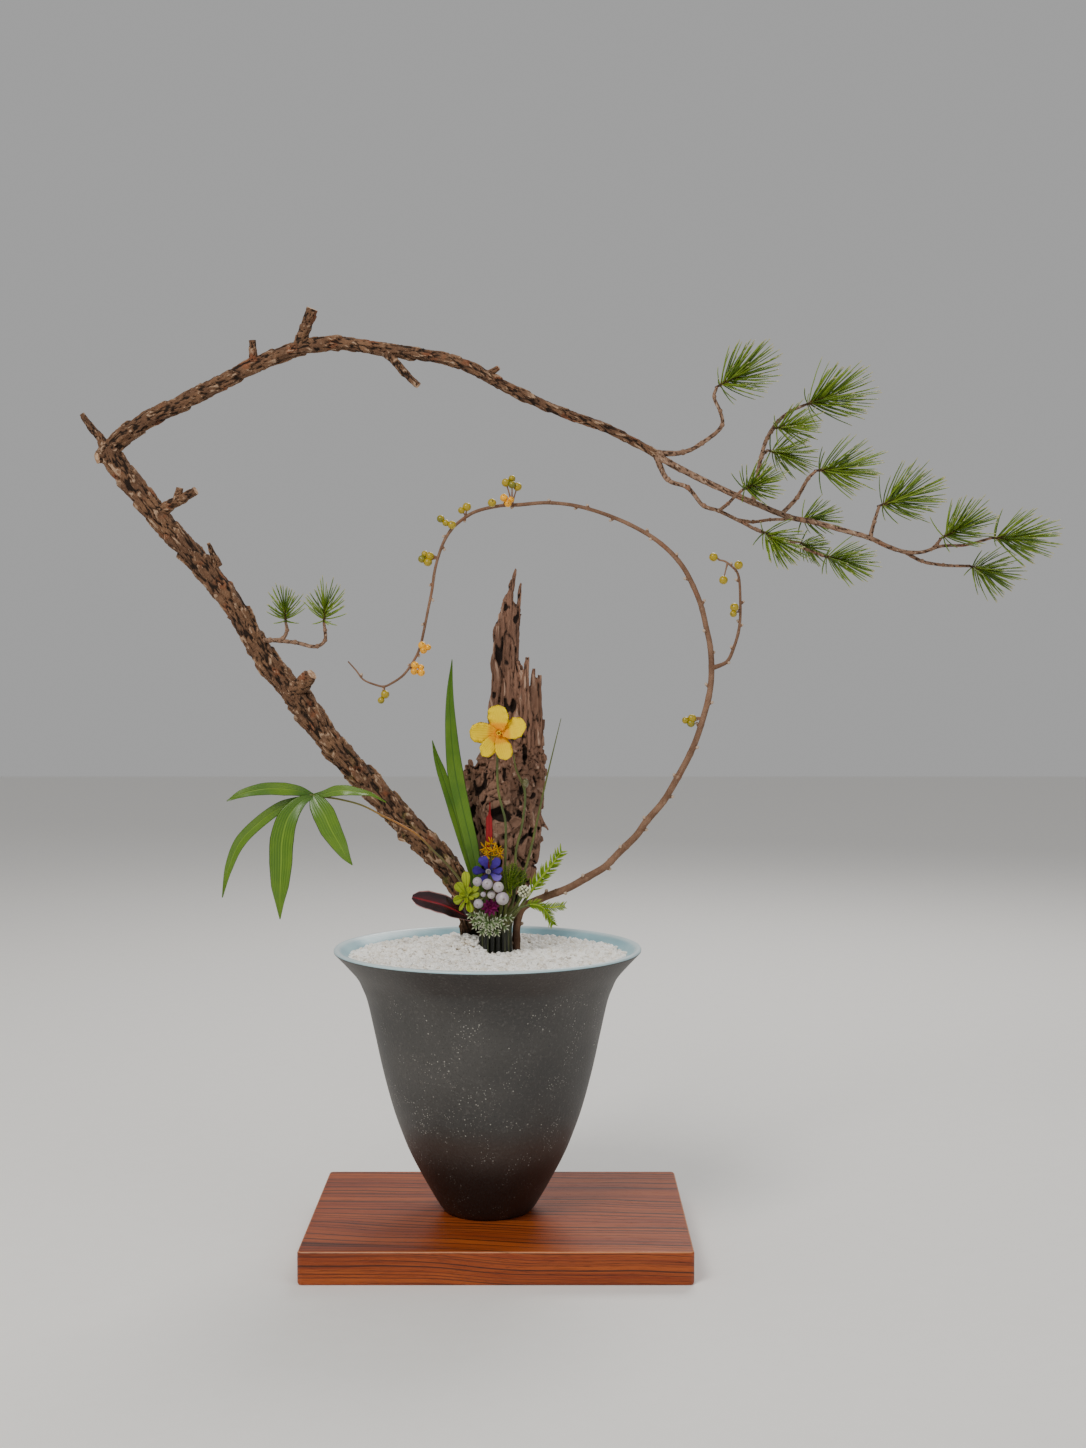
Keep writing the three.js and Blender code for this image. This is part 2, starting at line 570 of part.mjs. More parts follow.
// The berry vine: one long stem that loops over the top, with a side shoot and small buds
const VINE_FOOT = { x: 14, y: 20, radius: 5, bottom: 205 };
const VINE_STEM = [
  [14.4, 257, 5, 3.3], [18.9, 271.2, 3, 3.3], [34.4, 279.4, 0, 3.2], [57.4, 288.4, -4, 3.1],
  [74.6, 298.2, -7, 3.1], [86.9, 305.6, -9, 3], [99.2, 317.9, -12, 3], [113.2, 331.9, -15, 2.9],
  [120.5, 342.5, -17, 2.9], [134.5, 358.9, -20, 2.8], [143.5, 373.7, -22, 2.7],
  [155.8, 396.6, -25, 2.6], [161.5, 409.8, -26, 2.5], [167.3, 427.8, -27, 2.5],
  [173, 450.8, -28, 2.4], [174.2, 468, -28, 2.4], [173, 486.8, -28, 2.3], [169.7, 502.4, -28, 2.2],
  [165.6, 519.6, -28, 2.2], [158.3, 537.7, -27, 2.1], [150.1, 552.4, -26, 2],
  [139.4, 564.7, -24, 1.9], [126.3, 575.4, -22, 1.8], [112.3, 583.6, -20, 1.7],
  [98.4, 590.2, -18, 1.6], [78.7, 597.5, -15, 1.5], [58.2, 602.5, -12, 1.5],
  [37.7, 604.1, -10, 1.5], [17.2, 602.5, -8, 1.5], [0.8, 601.6, -7, 1.4], [-19.7, 596.7, -6, 1.4],
  [-30.3, 590.2, -6, 1.3], [-38.5, 582.8, -6, 1.3], [-44.3, 573.8, -6, 1.3],
  [-48.4, 563.9, -6, 1.2], [-52.5, 549.2, -7, 1.2], [-54.9, 532.8, -8, 1.2],
  [-58.2, 516.4, -9, 1.1], [-61.5, 500, -10, 1.1], [-65.6, 483.6, -11, 1.1],
  [-71.3, 472.9, -12, 1], [-78.7, 463.1, -13, 1], [-86.9, 457.3, -14, 0.9], [-94.3, 454, -15, 0.9],
  [-102.5, 455.7, -16, 0.8], [-111.5, 459.8, -17, 0.7], [-117.3, 467.2, -18, 0.65],
  [-123.8, 474.5, -19, 0.5],
];
const VINE_SHOOT = [
  [173.8, 468.8, -28, 2.2], [181.2, 471.3, -31, 1.6], [187, 474.5, -33, 1.5],
  [192.7, 486.8, -36, 1.3], [196.8, 502.4, -38, 1.2], [197.6, 522.1, -38, 1.1],
  [195.2, 546.7, -36, 1], [190.2, 552.4, -35, 0.9], [184.5, 556.5, -34, 0.8],
  [180.4, 557.4, -33, 0.7],
];
const VINE_BUDS = { spacing: 42, length: 3.6, radius: 1.6, slant: 0.5 };

// Berries in bunches: [name, material, place on the vine, berries as x, z, depth]
const BERRY_BUNCHES = [
  [
    'berries_top', oliveBerry, [10.7, 602.5, -8],
    [[5.7, 620.5, -10], [10.7, 623.8, -9], [10.7, 618.9, -12], [15.2, 617.2, -9]],
  ],
  [
    'berries_top_low', orangeBerry, [4.9, 601.6, -8],
    [[4.1, 608.2, -14], [9.8, 606.6, -14], [7.4, 603.3, -17]],
  ],
  ['berry_top_left', oliveBerry, [-7.4, 600, -7], [[-5.7, 604.1, -14]]],
  ['berries_shoulder', oliveBerry, [-27.1, 592.6, -6], [[-26.2, 600.8, -7], [-30.7, 597.9, -7]]],
  [
    'berries_left_bend', oliveBerry, [-38.5, 582.8, -6],
    [[-38.5, 586.1, -12], [-43.5, 587.7, -11.5], [-47.6, 591, -10.5]],
  ],
  [
    'berries_left_high', oliveBerry, [-49.2, 559, -6],
    [[-56.6, 560.6, -7], [-60.7, 562.3, -6], [-63.1, 558.2, -7], [-58.2, 555.7, -8]],
  ],
  [
    'berries_left_low', orangeBerry, [-65.6, 483.6, -11],
    [[-63.1, 487.7, -18], [-58.2, 486, -18], [-61.9, 483.6, -19]],
  ],
  [
    'berries_tail', orangeBerry, [-73.8, 468.8, -12],
    [[-68.9, 471.3, -19], [-64, 469.6, -18], [-69.7, 466.3, -21], [-64, 465.5, -18]],
  ],
  ['berries_tail_end', oliveBerry, [-94.3, 454, -15], [[-93.5, 447.5, -15], [-96.8, 442.6, -15]]],
  ['berry_shoot_tip', oliveBerry, [180.4, 557.4, -33], [[175.5, 559.8, -33]]],
  ['berry_shoot_inner', oliveBerry, [187, 554.9, -34], [[183.7, 541, -34]]],
  ['berry_shoot_bend', oliveBerry, [193.5, 548.3, -36], [[196, 553.3, -42]]],
  ['berries_shoot_low', oliveBerry, [197.6, 514.7, -38], [[192.7, 518.8, -43], [191.9, 513.5, -43]]],
  [
    'berries_right', oliveBerry, [167.3, 427.8, -27],
    [[158.3, 427.8, -27], [152.9, 426.2, -27], [157.4, 423.7, -28]],
  ],
];

// The short stalk that reaches from the vine to a bunch
function stalk(anchor, berry) {
  const direction = berry.clone().sub(anchor).normalize();
  const start = anchor.clone().addScaledVector(direction, -STALK_SINK);
  const end = berry.clone().addScaledVector(direction, -(BERRY_RADIUS + GAP));
  return limb([
    { place: start, size: BERRY_STALK.root }, { place: end, size: BERRY_STALK.end },
  ], { sides: 3, step: 12 });
}

function vineBuds(stops) {
  const draw = seeded(41);
  const { curve, sizeAt } = follow(stops);
  const count = Math.floor(curve.getLength() / VINE_BUDS.spacing);
  const buds = [];
  for (let number = 1; number < count; number++) {
    const share = (number + draw(-0.2, 0.2)) / count;
    const along = curve.getTangentAt(share);
    const outward = new THREE.Vector3().crossVectors(along, FRONT).multiplyScalar(number % 2 ? 1 : -1);
    outward.addScaledVector(along, VINE_BUDS.slant).addScaledVector(FRONT, draw(-0.6, 0.6)).normalize();
    const length = sizeAt(share) + VINE_BUDS.length * draw(0.6, 1.1);
    buds.push(spike(curve.getPointAt(share), outward, length, VINE_BUDS.radius));
  }
  return buds;
}

function berryVine() {
  const foot = [VINE_FOOT.bottom, 230, 245].map((z) => ({
    place: new THREE.Vector3(VINE_FOOT.x, VINE_FOOT.y, z),
    size: 3.3,
  }));
  const stem = [...foot, ...route(VINE_STEM)];
  const shoot = route(VINE_SHOOT);
  const stalks = BERRY_BUNCHES.map(([, , anchor, berries]) => stalk(at(...anchor), at(...berries[0])));
  place('berry_vine', fuse([
    limb(stem, { sides: 5, step: 20, relief: barkRelief(0.05) }),
    limb(shoot, { sides: 4, step: 16 }),
    ...vineBuds(stem),
    ...stalks,
  ]), vineBark);
  for (const [name, material, anchor, berries] of BERRY_BUNCHES) {
    const towards = at(...anchor).sub(at(...berries[0])).normalize();
    place(name, fuse(berries.map((berry) => bead(at(...berry), BERRY_RADIUS, 1, 5, 4, towards))), material);
  }
}

// The driftwood: splintered strands of different heights grown into one weathered piece
const DRIFT_FOOT = { x: 0, y: 41, radius: 10.4, bottom: 203 };
const DRIFT_HEART = [
  [10.7, 522.9, 25, 4], [4.9, 491.8, 25, 9], [6.6, 459, 25, 14], [11.5, 426.2, 25, 20],
  [10.7, 398.3, 25, 24], [5.7, 368.8, 25, 30], [7.4, 340.1, 25, 28], [7.4, 313, 25, 24],
  [8.2, 290.9, 25, 17], [3.6, 268.7, 25, 11],
];
const DRIFT_STRANDS = [
  [
    [13.9, 550.8, 24, 0.8], [10.7, 536.9, 24, 2], [6.6, 516.4, 24, 3.2], [3.3, 491.8, 23, 4.2],
    [2.5, 442.6, 23, 6], [4.9, 393.4, 23, 7.5], [7.4, 344.2, 24, 8], [9, 303.2, 25, 8],
  ],
  [
    [18, 538.5, 29, 0.9], [16.4, 524.6, 29, 2], [13.9, 500, 29, 2.8], [12.3, 459, 29, 4.6],
    [14.8, 409.8, 29, 6.6], [18, 360.6, 29, 7.4], [18.9, 311.4, 28, 7.5],
  ],
  [
    [4.9, 523.7, 20, 1], [0.8, 513.1, 20, 1.8], [-2.5, 491.8, 20, 3], [-4.1, 450.8, 20, 3.8],
    [-3.3, 409.8, 20, 5.4], [-0.8, 360.6, 20, 6.6],
  ],
  [
    [23, 478.6, 22, 1], [21.3, 459, 22, 3.6], [22.1, 426.2, 22, 5], [23.8, 377, 22, 6.6],
    [23.8, 319.6, 23, 6],
  ],
  [
    [28.7, 469.6, 27, 1.2], [27.9, 450.8, 27, 3.2], [29.5, 409.8, 27, 4.4], [30.3, 360.6, 26, 5.2],
    [26.2, 311.4, 26, 4.6],
  ],
  [
    [33.6, 463.9, 24, 1.2], [33.6, 442.6, 24, 2.6], [34.4, 405.7, 24, 3.2], [34.4, 368.8, 24, 4],
    [32, 327.8, 24, 4],
  ],
  [[36.5, 427.8, 28, 1], [35.3, 405.7, 28, 2.4], [34.4, 368.8, 28, 4]],
  [
    [-13.1, 399.1, 22, 1.4], [-17.2, 381.1, 23, 5.4], [-16.4, 352.4, 23, 6.6],
    [-11.5, 319.6, 24, 5.6], [-1.6, 286.8, 25, 5.5],
  ],
  [
    [-27.1, 390.9, 25, 1.4], [-25.4, 377, 25, 3.8], [-23, 356.5, 25, 4.6], [-16.4, 327.8, 25, 4.4],
    [-7.4, 303.2, 25, 5],
  ],
  [[-8.2, 409.8, 18, 1.2], [-9.8, 385.2, 17, 3.6], [-7.4, 352.4, 17, 4.4], [-1.6, 319.6, 20, 5]],
  [[41, 335.1, 22, 1], [34.4, 345.8, 22, 2.6], [27.9, 360.6, 21, 4], [17.2, 372, 18, 4]],
  [
    [-23.8, 393.4, 20, 1], [-18.9, 368.8, 18, 3], [-10.7, 350.7, 16, 3.6], [2.5, 342.5, 15, 3.4],
    [17.2, 350.7, 15, 3.2], [27.9, 367.1, 17, 3],
  ],
];
const DRIFT_KNOTS = [
  [[4.9, 368.8, 15], 5.6], [[20.5, 348.3, 16], 5.8], [[11.5, 326.1, 18], 6.4], [[27.9, 329.4, 20], 4.6],
  [[3.3, 304.8, 21], 6],
];

function driftwood() {
  const grain = (ring, side) => 0.16 * roughAt(side, 3) + 0.13 * roughAt(ring, side);
  const foot = [243, 225, DRIFT_FOOT.bottom].map((z) => ({
    place: new THREE.Vector3(DRIFT_FOOT.x, DRIFT_FOOT.y, z),
    size: 8,
  }));
  place('driftwood', fuse([
    limb([...route(DRIFT_HEART), ...foot], { sides: 8, step: 22, relief: grain, thinning: 0.45 }),
    limb([{ place: at(6.6, 286.8, 26), size: 7 }, ...foot], { sides: 6, step: 20 }),
    ...DRIFT_STRANDS.map((strand) => limb(route(strand), { sides: 4, step: 30, relief: grain })),
    ...DRIFT_KNOTS.map(([centre, radius]) => bead(at(...centre), radius, 0.8, 5, 4)),
  ]), driftGrain);
}

// A stem that stands in the column at its own slot and then leaves for its place above
function rooted(across, row, stations, radius = STEM_RADIUS) {
  const x = WELL.x + across * SLOT.across;
  const y = WELL.y + row * SLOT.back;
  const straight = [WELL.floor + GAP, 230, WELL.columnTop - 8, WELL.columnTop].map((z) => ({
    place: new THREE.Vector3(x, y, z),
    size: radius,
  }));
  return [...straight, ...route(stations)];
}

function swordLeaves() {
  const tall = blade(route([
    [-13.9, 266.3, -3, 2.4], [-17.2, 295, -5, 4], [-23, 324.5, -6, 5.6], [-29.1, 349.9, -6, 6.1],
    [-36.1, 384.3, -6, 6.6], [-39.8, 424.5, -6, 4.5], [-40.2, 450.8, -6, 2.6],
    [-38.5, 476.2, -6, 0.4],
  ]), { steps: 9 });
  const tallStem = limb(rooted(-4, 1, [[-14.8, 272, -3, 1.8], [-16.4, 288.4, -4.5, 1.2]]), { sides: 5 });
  place('sword_leaf_tall', tall.add(tallStem), swordGreen);
  const short = blade(route([
    [-18, 274.5, 3, 2], [-22.1, 299.1, 1, 3], [-29.5, 324.5, 0, 3.4], [-36.5, 349.9, 0, 4.5],
    [-47.6, 384.3, 0, 3.7], [-51.7, 396.6, 0, 2.2], [-54.9, 409.8, 0, 0.4],
  ]), { steps: 7 });
  const shortStem = limb(rooted(-3, 2, [[-18, 276.9, 3, 1.7], [-20.5, 290.9, 1.5, 1]]), { sides: 5 });
  place('sword_leaf_short', short.add(shortStem), swordGreen);
}

function grassBlade() {
  const stem = rooted(5, 0, [
    [14.8, 274.5, 1, 1.5], [18.9, 295, 3, 1.4], [24.6, 314.6, 4, 1.2], [37.7, 372.9, 2, 0.8],
    [50.8, 427.8, 0, 0.4],
  ]);
  place('grass_blade', limb(stem, { sides: 4, step: 20 }), stemGreen);
}

// Five pointed leaves that hang from the end of one long arching stalk
const SPRAY_LEAVES = [
  [
    [-152.5, 364.7, -16, 1.2], [-163.2, 367.9, -17, 4], [-176.3, 369.6, -19, 5.3],
    [-194.3, 369.6, -22, 5], [-212.4, 365.5, -25, 3.2], [-223.9, 359.7, -27, 0.4],
  ],
  [
    [-152.5, 363.8, -16, 1], [-163.2, 360.6, -14, 3.2], [-177.9, 355.6, -12, 4.6],
    [-192.7, 345.8, -11, 5], [-212.4, 326.9, -10, 4.9], [-222.2, 305.6, -9, 3.4],
    [-228, 280.2, -9, 0.4],
  ],
  [
    [-152.5, 363.8, -17, 1], [-162.5, 359.5, -20, 4.6], [-173, 347, -23, 8.4],
    [-178.4, 328, -25, 9.8], [-179.4, 308.7, -26, 9.4], [-180.3, 289.2, -27, 7.2],
    [-180.6, 276, -27.5, 3.6], [-180.6, 262.2, -28, 0.4],
  ],
  [
    [-152.5, 363.8, -17, 3.5], [-149, 357.5, -20, 7.4], [-144, 349, -23, 9.2],
    [-138.4, 336.6, -25.5, 8.8], [-131, 323.4, -27, 6.4], [-125.7, 313.8, -27.6, 3.4],
    [-120.8, 307, -28, 0.4],
  ],
  [
    [-152.5, 364.7, -16, 1.2], [-144.4, 365.6, -18.5, 2.8], [-134.6, 368.1, -21.5, 4.4],
    [-124.9, 368.6, -24, 4.2], [-115.1, 367.3, -25.6, 3], [-106.2, 365.7, -27, 1.7],
    [-98.8, 362.1, -28, 1], [-92.9, 358.7, -29, 0.4],
  ],
];

function leafSpray() {
  const stalkStops = rooted(-5, 0, [
    [-21.3, 274.5, -10, 1.6], [-31.2, 293.3, -9, 1.4], [-42.6, 307.3, -8, 1.3],
    [-54.9, 319.6, -8, 1.2], [-67.2, 331.9, -9, 1.2], [-80.4, 340.1, -10, 1.1],
    [-96.8, 348.3, -12, 1.1], [-113.2, 356.5, -14, 1.1], [-132, 361.4, -15, 1.1],
    [-148.4, 363.8, -16, 1.3], [-155.8, 364.7, -16, 1.5],
  ]);
  const leaves = SPRAY_LEAVES.map((leaf) => blade(route(leaf), { steps: 6 }));
  place('leaf_spray', fuse([limb(stalkStops, { sides: 5 }), ...leaves]), sprayGreen);
}

const PETAL_TWIST = 0.3;
const PETAL_FOLD = 0.18;
// Uneven flowers: for each petal its turn in degrees, and its shares of the full reach and width
const YELLOW_PETALS = [[91, 1, 1], [15, 1, 1], [-75, 1, 0.78], [-127, 1, 0.7], [177, 1.04, 0.95]];
const BLUE_PETALS = [
  [113, 1, 1], [47, 1, 0.95], [174, 0.95, 0.85], [4, 0.85, 0.75], [-36, 0.9, 0.9], [-117, 0.8, 0.8],
];
const LIME_LEAVES = [
  [93, 1.45, 0.85], [130, 1, 1], [200, 0.9, 0.9], [240, 1, 0.4], [278, 1, 0.8], [40, 0.85, 0.6],
  [5, 0.7, 0.7],
];
const ROUND_PETAL = [[0.1, 0.42], [0.32, 0.8], [0.6, 1], [0.84, 0.88], [1, 0.35]];
const SPOON_PETAL = [[0.1, 0.3], [0.4, 0.45], [0.62, 0.95], [0.82, 1], [1, 0.35]];
const POINTED_PETAL = [[0.14, 0.35], [0.4, 0.9], [0.65, 0.85], [1, 0.12]];

const MAGENTA_PETALS = [10, 70, 130, 190, 250, 310].map((turn) => [turn, 1, 1]);

// Petals round a centre, each twisted a little about its length, so that one edge lies over its
// neighbour and the other under
function petals(list, { centre, facing, reach, halfWidth, cup, steps, shape = ROUND_PETAL, across = 2 }) {
  const right = new THREE.Vector3().crossVectors(UP, facing).normalize();
  const rise = new THREE.Vector3().crossVectors(facing, right).normalize();
  return list.map(([turn, reachShare, widthShare]) => {
    const angle = THREE.MathUtils.degToRad(turn);
    const outward = right.clone().multiplyScalar(Math.cos(angle)).addScaledVector(rise, Math.sin(angle));
    const stops = shape.map(([share, width]) => {
      const spot = centre.clone().addScaledVector(outward, reach * reachShare * share);
      spot.addScaledVector(facing, cup * reach * share ** 2);
      return { place: spot, size: halfWidth * widthShare * width };
    });
    const onward = new THREE.Vector3().crossVectors(facing, outward);
    const twisted = facing.clone().addScaledVector(onward, PETAL_TWIST);
    return blade(stops, { steps, across, facing: twisted, fold: PETAL_FOLD });
  });
}

function yellowFlower() {
  const centre = at(0, 415.5, -20);
  const facing = new THREE.Vector3(-0.05, -1, 0.1).normalize();
  const made = petals(YELLOW_PETALS, { centre, facing, reach: 22.5, halfWidth: 9.6, cup: 0.25, steps: 5 });
  const throat = bead(centre.clone().addScaledVector(facing, 0.6), 4, 1, 6, 4);
  const tube = limb([
    { place: centre, size: 3 },
    { place: at(-1.2, 404, -15), size: 1.8 },
  ], { sides: 6, step: 8 });
  place('yellow_flower', fuse([...made, throat, tube]), petalYellow);
  const stem = rooted(1, 0, [
    [2.5, 278.6, -6, 1.3], [4.9, 311.4, -8, 1.1], [4.9, 344.2, -9, 1], [2.5, 354, -9, 1],
    [-0.8, 368.8, -10, 1], [-1.6, 389.3, -12, 1], [-1.2, 403.2, -14.6, 1.2],
  ]);
  place('flower_stem', limb(stem, { sides: 5, step: 14 }), stemGreen);
}

function budStem() {
  const stem = rooted(2, 1, [
    [11.5, 278.6, -4, 1.3], [13.9, 319.6, -4, 1.1], [18, 336, -4, 1], [21.3, 360.6, -4, 1],
    [20.5, 370.4, -4, 1.1], [13.9, 386, -4, 0.8], [11.5, 399.1, -4, 0.7],
  ]);
  const bud = bead(at(21.3, 374.5, -4), 3.1, 1.45, 6, 5);
  place('bud_stem', limb(stem, { sides: 5, step: 14 }).add(bud), stemGreen);
}

function redBlade() {
  const strap = blade(route([
    [-8.2, 295, -8, 1.4], [-8.2, 319.6, -8, 2.3], [-8.2, 344.2, -8, 2.5], [-8.2, 358.9, -8, 1],
  ]), { steps: 5 });
  const stem = limb(rooted(-3, 0, [[-9.8, 278.6, -8, 1.5], [-8.2, 303.2, -8, 1.1]]), { sides: 5 });
  place('red_blade', strap.add(stem), bladeRed);
}

function darkLeaf() {
  const leaf = blade(route([
    [-22.1, 262.2, -12, 1.6], [-30.5, 266.3, -14, 5.6], [-39.5, 271, -15.5, 8.6],
    [-50, 275, -17, 9.4], [-60, 277.5, -18, 9], [-67.5, 279.4, -18.5, 6.8], [-71.8, 280.4, -18.5, 2.4],
  ]), { steps: 8, facing: new THREE.Vector3(0, -0.75, 0.65).normalize() });
  const stem = limb(rooted(-4, -1, [
    [-21.3, 261.3, -12, 1.4], [-28.7, 264.6, -13, 1],
  ]), { sides: 5, step: 14 });
  place('dark_red_leaf', leaf.add(stem), leafMaroon);
}

// Small stars of short spikes at the ends of a few branchlets
const STAR_POINTS = { count: 4, shortest: 4.5, longest: 6, radius: 0.55 };

function goldenSpray() {
  const draw = seeded(7);
  const stars = [[-11.5, 322, -15], [-6.6, 326.1, -14], [-1.6, 321.2, -15], [-2.5, 313.8, -15]];
  const stem = limb(rooted(-1, 0, [
    [-5.7, 278.6, -9, 1.3], [-6.6, 304.8, -13, 1.1], [-6.6, 311.4, -14, 1],
  ]), { sides: 4 });
  const spikes = [];
  for (const star of stars) {
    const heart = at(...star);
    spikes.push(limb([
      { place: at(-6.6, 308.9, -14), size: 0.8 }, { place: heart, size: 0.7 },
    ], { sides: 3, step: 12 }));
    spikes.push(bead(heart, 1.5, 1, 4, 3));
    for (let number = 0; number < STAR_POINTS.count; number++) {
      const turn = number * 2 * Math.PI / STAR_POINTS.count + draw(0, 1);
      const direction = new THREE.Vector3(Math.cos(turn), draw(-0.9, 0.3), Math.sin(turn)).normalize();
      const length = draw(STAR_POINTS.shortest, STAR_POINTS.longest);
      spikes.push(spike(heart, direction, length, STAR_POINTS.radius));
    }
  }
  place('golden_spray', fuse([stem, ...spikes]), sprayGold);
}

function blueFlower() {
  const centre = at(-9, 301.5, -21);
  const facing = new THREE.Vector3(0, -1, 0.3).normalize();
  const made = petals(BLUE_PETALS, {
    centre, facing, reach: 13.6, halfWidth: 4.4, cup: 0.22, steps: 4, across: 1, shape: SPOON_PETAL,
  });
  const heart = bead(centre.clone().addScaledVector(facing, 0.8), 2.4);
  const stem = limb(rooted(0, -1, [
    [-4.9, 274.5, -13, 1.4], [-7.4, 290.9, -17, 1.2], [-9, 301.5, -21, 1.1],
  ]), { sides: 4 });
  place('blue_flower', fuse([...made, heart, stem]), petalBlue);
}

// Pale round fruits of uneven size on a branching stalk
const FRUITS = [
  [[-18, 293.3, -34], 3.8], [[-9.8, 291.3, -35], 4.4], [[-0.8, 288.8, -34], 4.4],
  [[-17.2, 275.1, -32], 3.9], [[2.5, 279.4, -34], 5.3], [[-6.5, 282.6, -31], 3.4],
  [[-13.2, 282.8, -32], 2.2],
];

function paleFruits() {
  const fork = at(-9, 285.5, -28);
  const stem = limb([
    ...rooted(-2, -1, [[-11.5, 270.4, -11, 1.4], [-10.7, 281, -15, 1.2]]),
    { place: fork, size: 1.2 },
  ], { sides: 5 });
  const made = FRUITS.flatMap(([centre, radius]) => [
    bead(at(...centre), radius, 1, 5, 4),
    limb([{ place: fork, size: 0.9 }, { place: at(...centre), size: 0.8 }], { sides: 3, step: 30 }),
  ]);
  place('pale_fruits', fuse([stem, ...made]), fruitPale);
}

// A round head set all over with blunt knobs
const KNOBS = { count: 10, reach: 5, radius: 2.2, heart: 4.2 };

function knobblyHead() {
  const centre = at(20.5, 285.1, -18);
  const draw = seeded(13);
  const knobs = [];
  for (let number = 0; number < KNOBS.count; number++) {
    const height = 1 - 2 * (number + 0.5) / KNOBS.count;
    const turn = number * GOLDEN_TURN + draw(-0.2, 0.2);
    const across = Math.sqrt(1 - height * height);
    const outward = new THREE.Vector3(across * Math.cos(turn), across * Math.sin(turn), height);
    knobs.push(spike(centre, outward, KNOBS.reach, KNOBS.radius, 4));
  }
  const stem = limb(rooted(2, -1, [
    [7.4, 266.3, -14, 1.3], [14.8, 274.5, -17, 1.1], [19.7, 282.7, -18, 1],
  ]), { sides: 5 });
  place('knobbly_head', fuse([bead(centre, KNOBS.heart), ...knobs, stem]), headCream);
}

function magentaFlower() {
  const centre = at(-7.4, 272, -22);
  const facing = new THREE.Vector3(0, -1, 0.25).normalize();
  const made = petals(MAGENTA_PETALS, {
    centre, facing, reach: 7, halfWidth: 2.5, cup: 0.25, steps: 2, across: 1, shape: POINTED_PETAL,
  });
  const stem = limb(rooted(1, -2, [[-4.9, 260.5, -17, 1.1], [-7.4, 272, -22, 1]]), { sides: 4 });
  place('magenta_flower', fuse([...made, bead(centre, 1.9, 1, 5, 3), stem]), petalMagenta);
}

function limeRosette() {
  const centre = at(-26.2, 281.4, -24);
  const facing = new THREE.Vector3(0.1, -1, 0.3).normalize();
  const made = petals(LIME_LEAVES, {
    centre, facing, reach: 13.8, halfWidth: 4.4, cup: 0.15, steps: 4, across: 1, shape: SPOON_PETAL,
  });
  const stem = limb(rooted(-3, -2, [[-20.5, 263.8, -18, 1.3], [-26.2, 281.4, -24, 1]]), { sides: 4 });
  place('lime_rosette', fuse([...made, bead(centre, 2, 1, 5, 3), stem]), leafLime);
}

const LEAFLET_SHRINK = 0.35;

// A stem with narrow leaflets along both its sides
function leafletRow(stops, { pairs, length, radius, from = 0.25, seed = 3, lift = 0.5 }) {
  const draw = seeded(seed);
  const { curve } = follow(stops);
  const leaflets = [];
  for (let pair = 0; pair < pairs; pair++) {
    const share = THREE.MathUtils.lerp(from, 0.97, pair / (pairs - 1));
    const along = curve.getTangentAt(share);
    const sideways = new THREE.Vector3().crossVectors(along, FRONT).normalize();
    for (const hand of [-1, 1]) {
      const direction = along.clone().multiplyScalar(draw(0.6, 0.9)).addScaledVector(sideways, hand);
      direction.addScaledVector(FRONT, draw(-lift, lift)).normalize();
      const reach = length * (1 - LEAFLET_SHRINK * share) * draw(0.85, 1.1);
      leaflets.push(spike(curve.getPointAt(share), direction, reach, radius));
    }
  }
  return leaflets;
}

function fernSprigs() {
  const upper = rooted(4, -1, [
    [13.1, 266.3, -9.5, 1.3], [22.1, 279.4, -11, 1.2], [32, 293.3, -14, 1.1],
    [42.6, 306.4, -17, 1], [51.7, 318.7, -20, 0.8],
  ]);
  const upperFrond = upper.slice(5);
  place('fern_sprig_upper', fuse([
    limb(upper, { sides: 5 }),
    ...leafletRow(upperFrond, { pairs: 8, length: 10.5, radius: 0.55 }),
  ]), fernGreen);
  const lower = rooted(3, -2, [
    [8.2, 263.8, -19, 1.2], [16.4, 271.2, -23, 1.1], [25.4, 274.5, -25, 1], [34.4, 272.8, -27, 1],
    [40.2, 266.3, -28, 1], [44.3, 257.2, -29, 0.8],
  ]);
  const branch = route([[27.1, 274.5, -25.3, 1], [41.8, 272, -24, 0.9], [54.1, 273.6, -23, 0.8]]);
  place('fern_sprig_lower', fuse([
    limb(lower, { sides: 5 }),
    limb(branch, { sides: 3, step: 12 }),
    ...leafletRow(lower.slice(5), { pairs: 6, length: 9, radius: 0.55, seed: 5 }),
    ...leafletRow(branch, { pairs: 4, length: 8, radius: 0.5, seed: 6 }),
  ]), fernGreen);
}

// A tuft of thread-like leaves on three short shoots
function featheryTuft() {
  const fork = [9, 284.3, -13];
  const tips = [[9.8, 308.1, -14], [15.6, 305.6, -12], [22.1, 300.7, -11]];
  const stem = limb(rooted(3, 0, [[5.7, 273.6, -6, 1.3], [9, 285.1, -13, 1.1]]), { sides: 4 });
  const shoots = tips.flatMap((tip, number) => {
    const stops = route([[...fork, 1.1], [...tip, 0.9]]);
    return [limb(stops, { sides: 3, step: 30 }), ...leafletRow(stops, {
      pairs: 4, length: 7.5, radius: 0.45, from: 0.4, seed: 20 + number, lift: 0.7,
    })];
  });
  place('feathery_tuft', fuse([stem, ...shoots]), fernGreen);
}

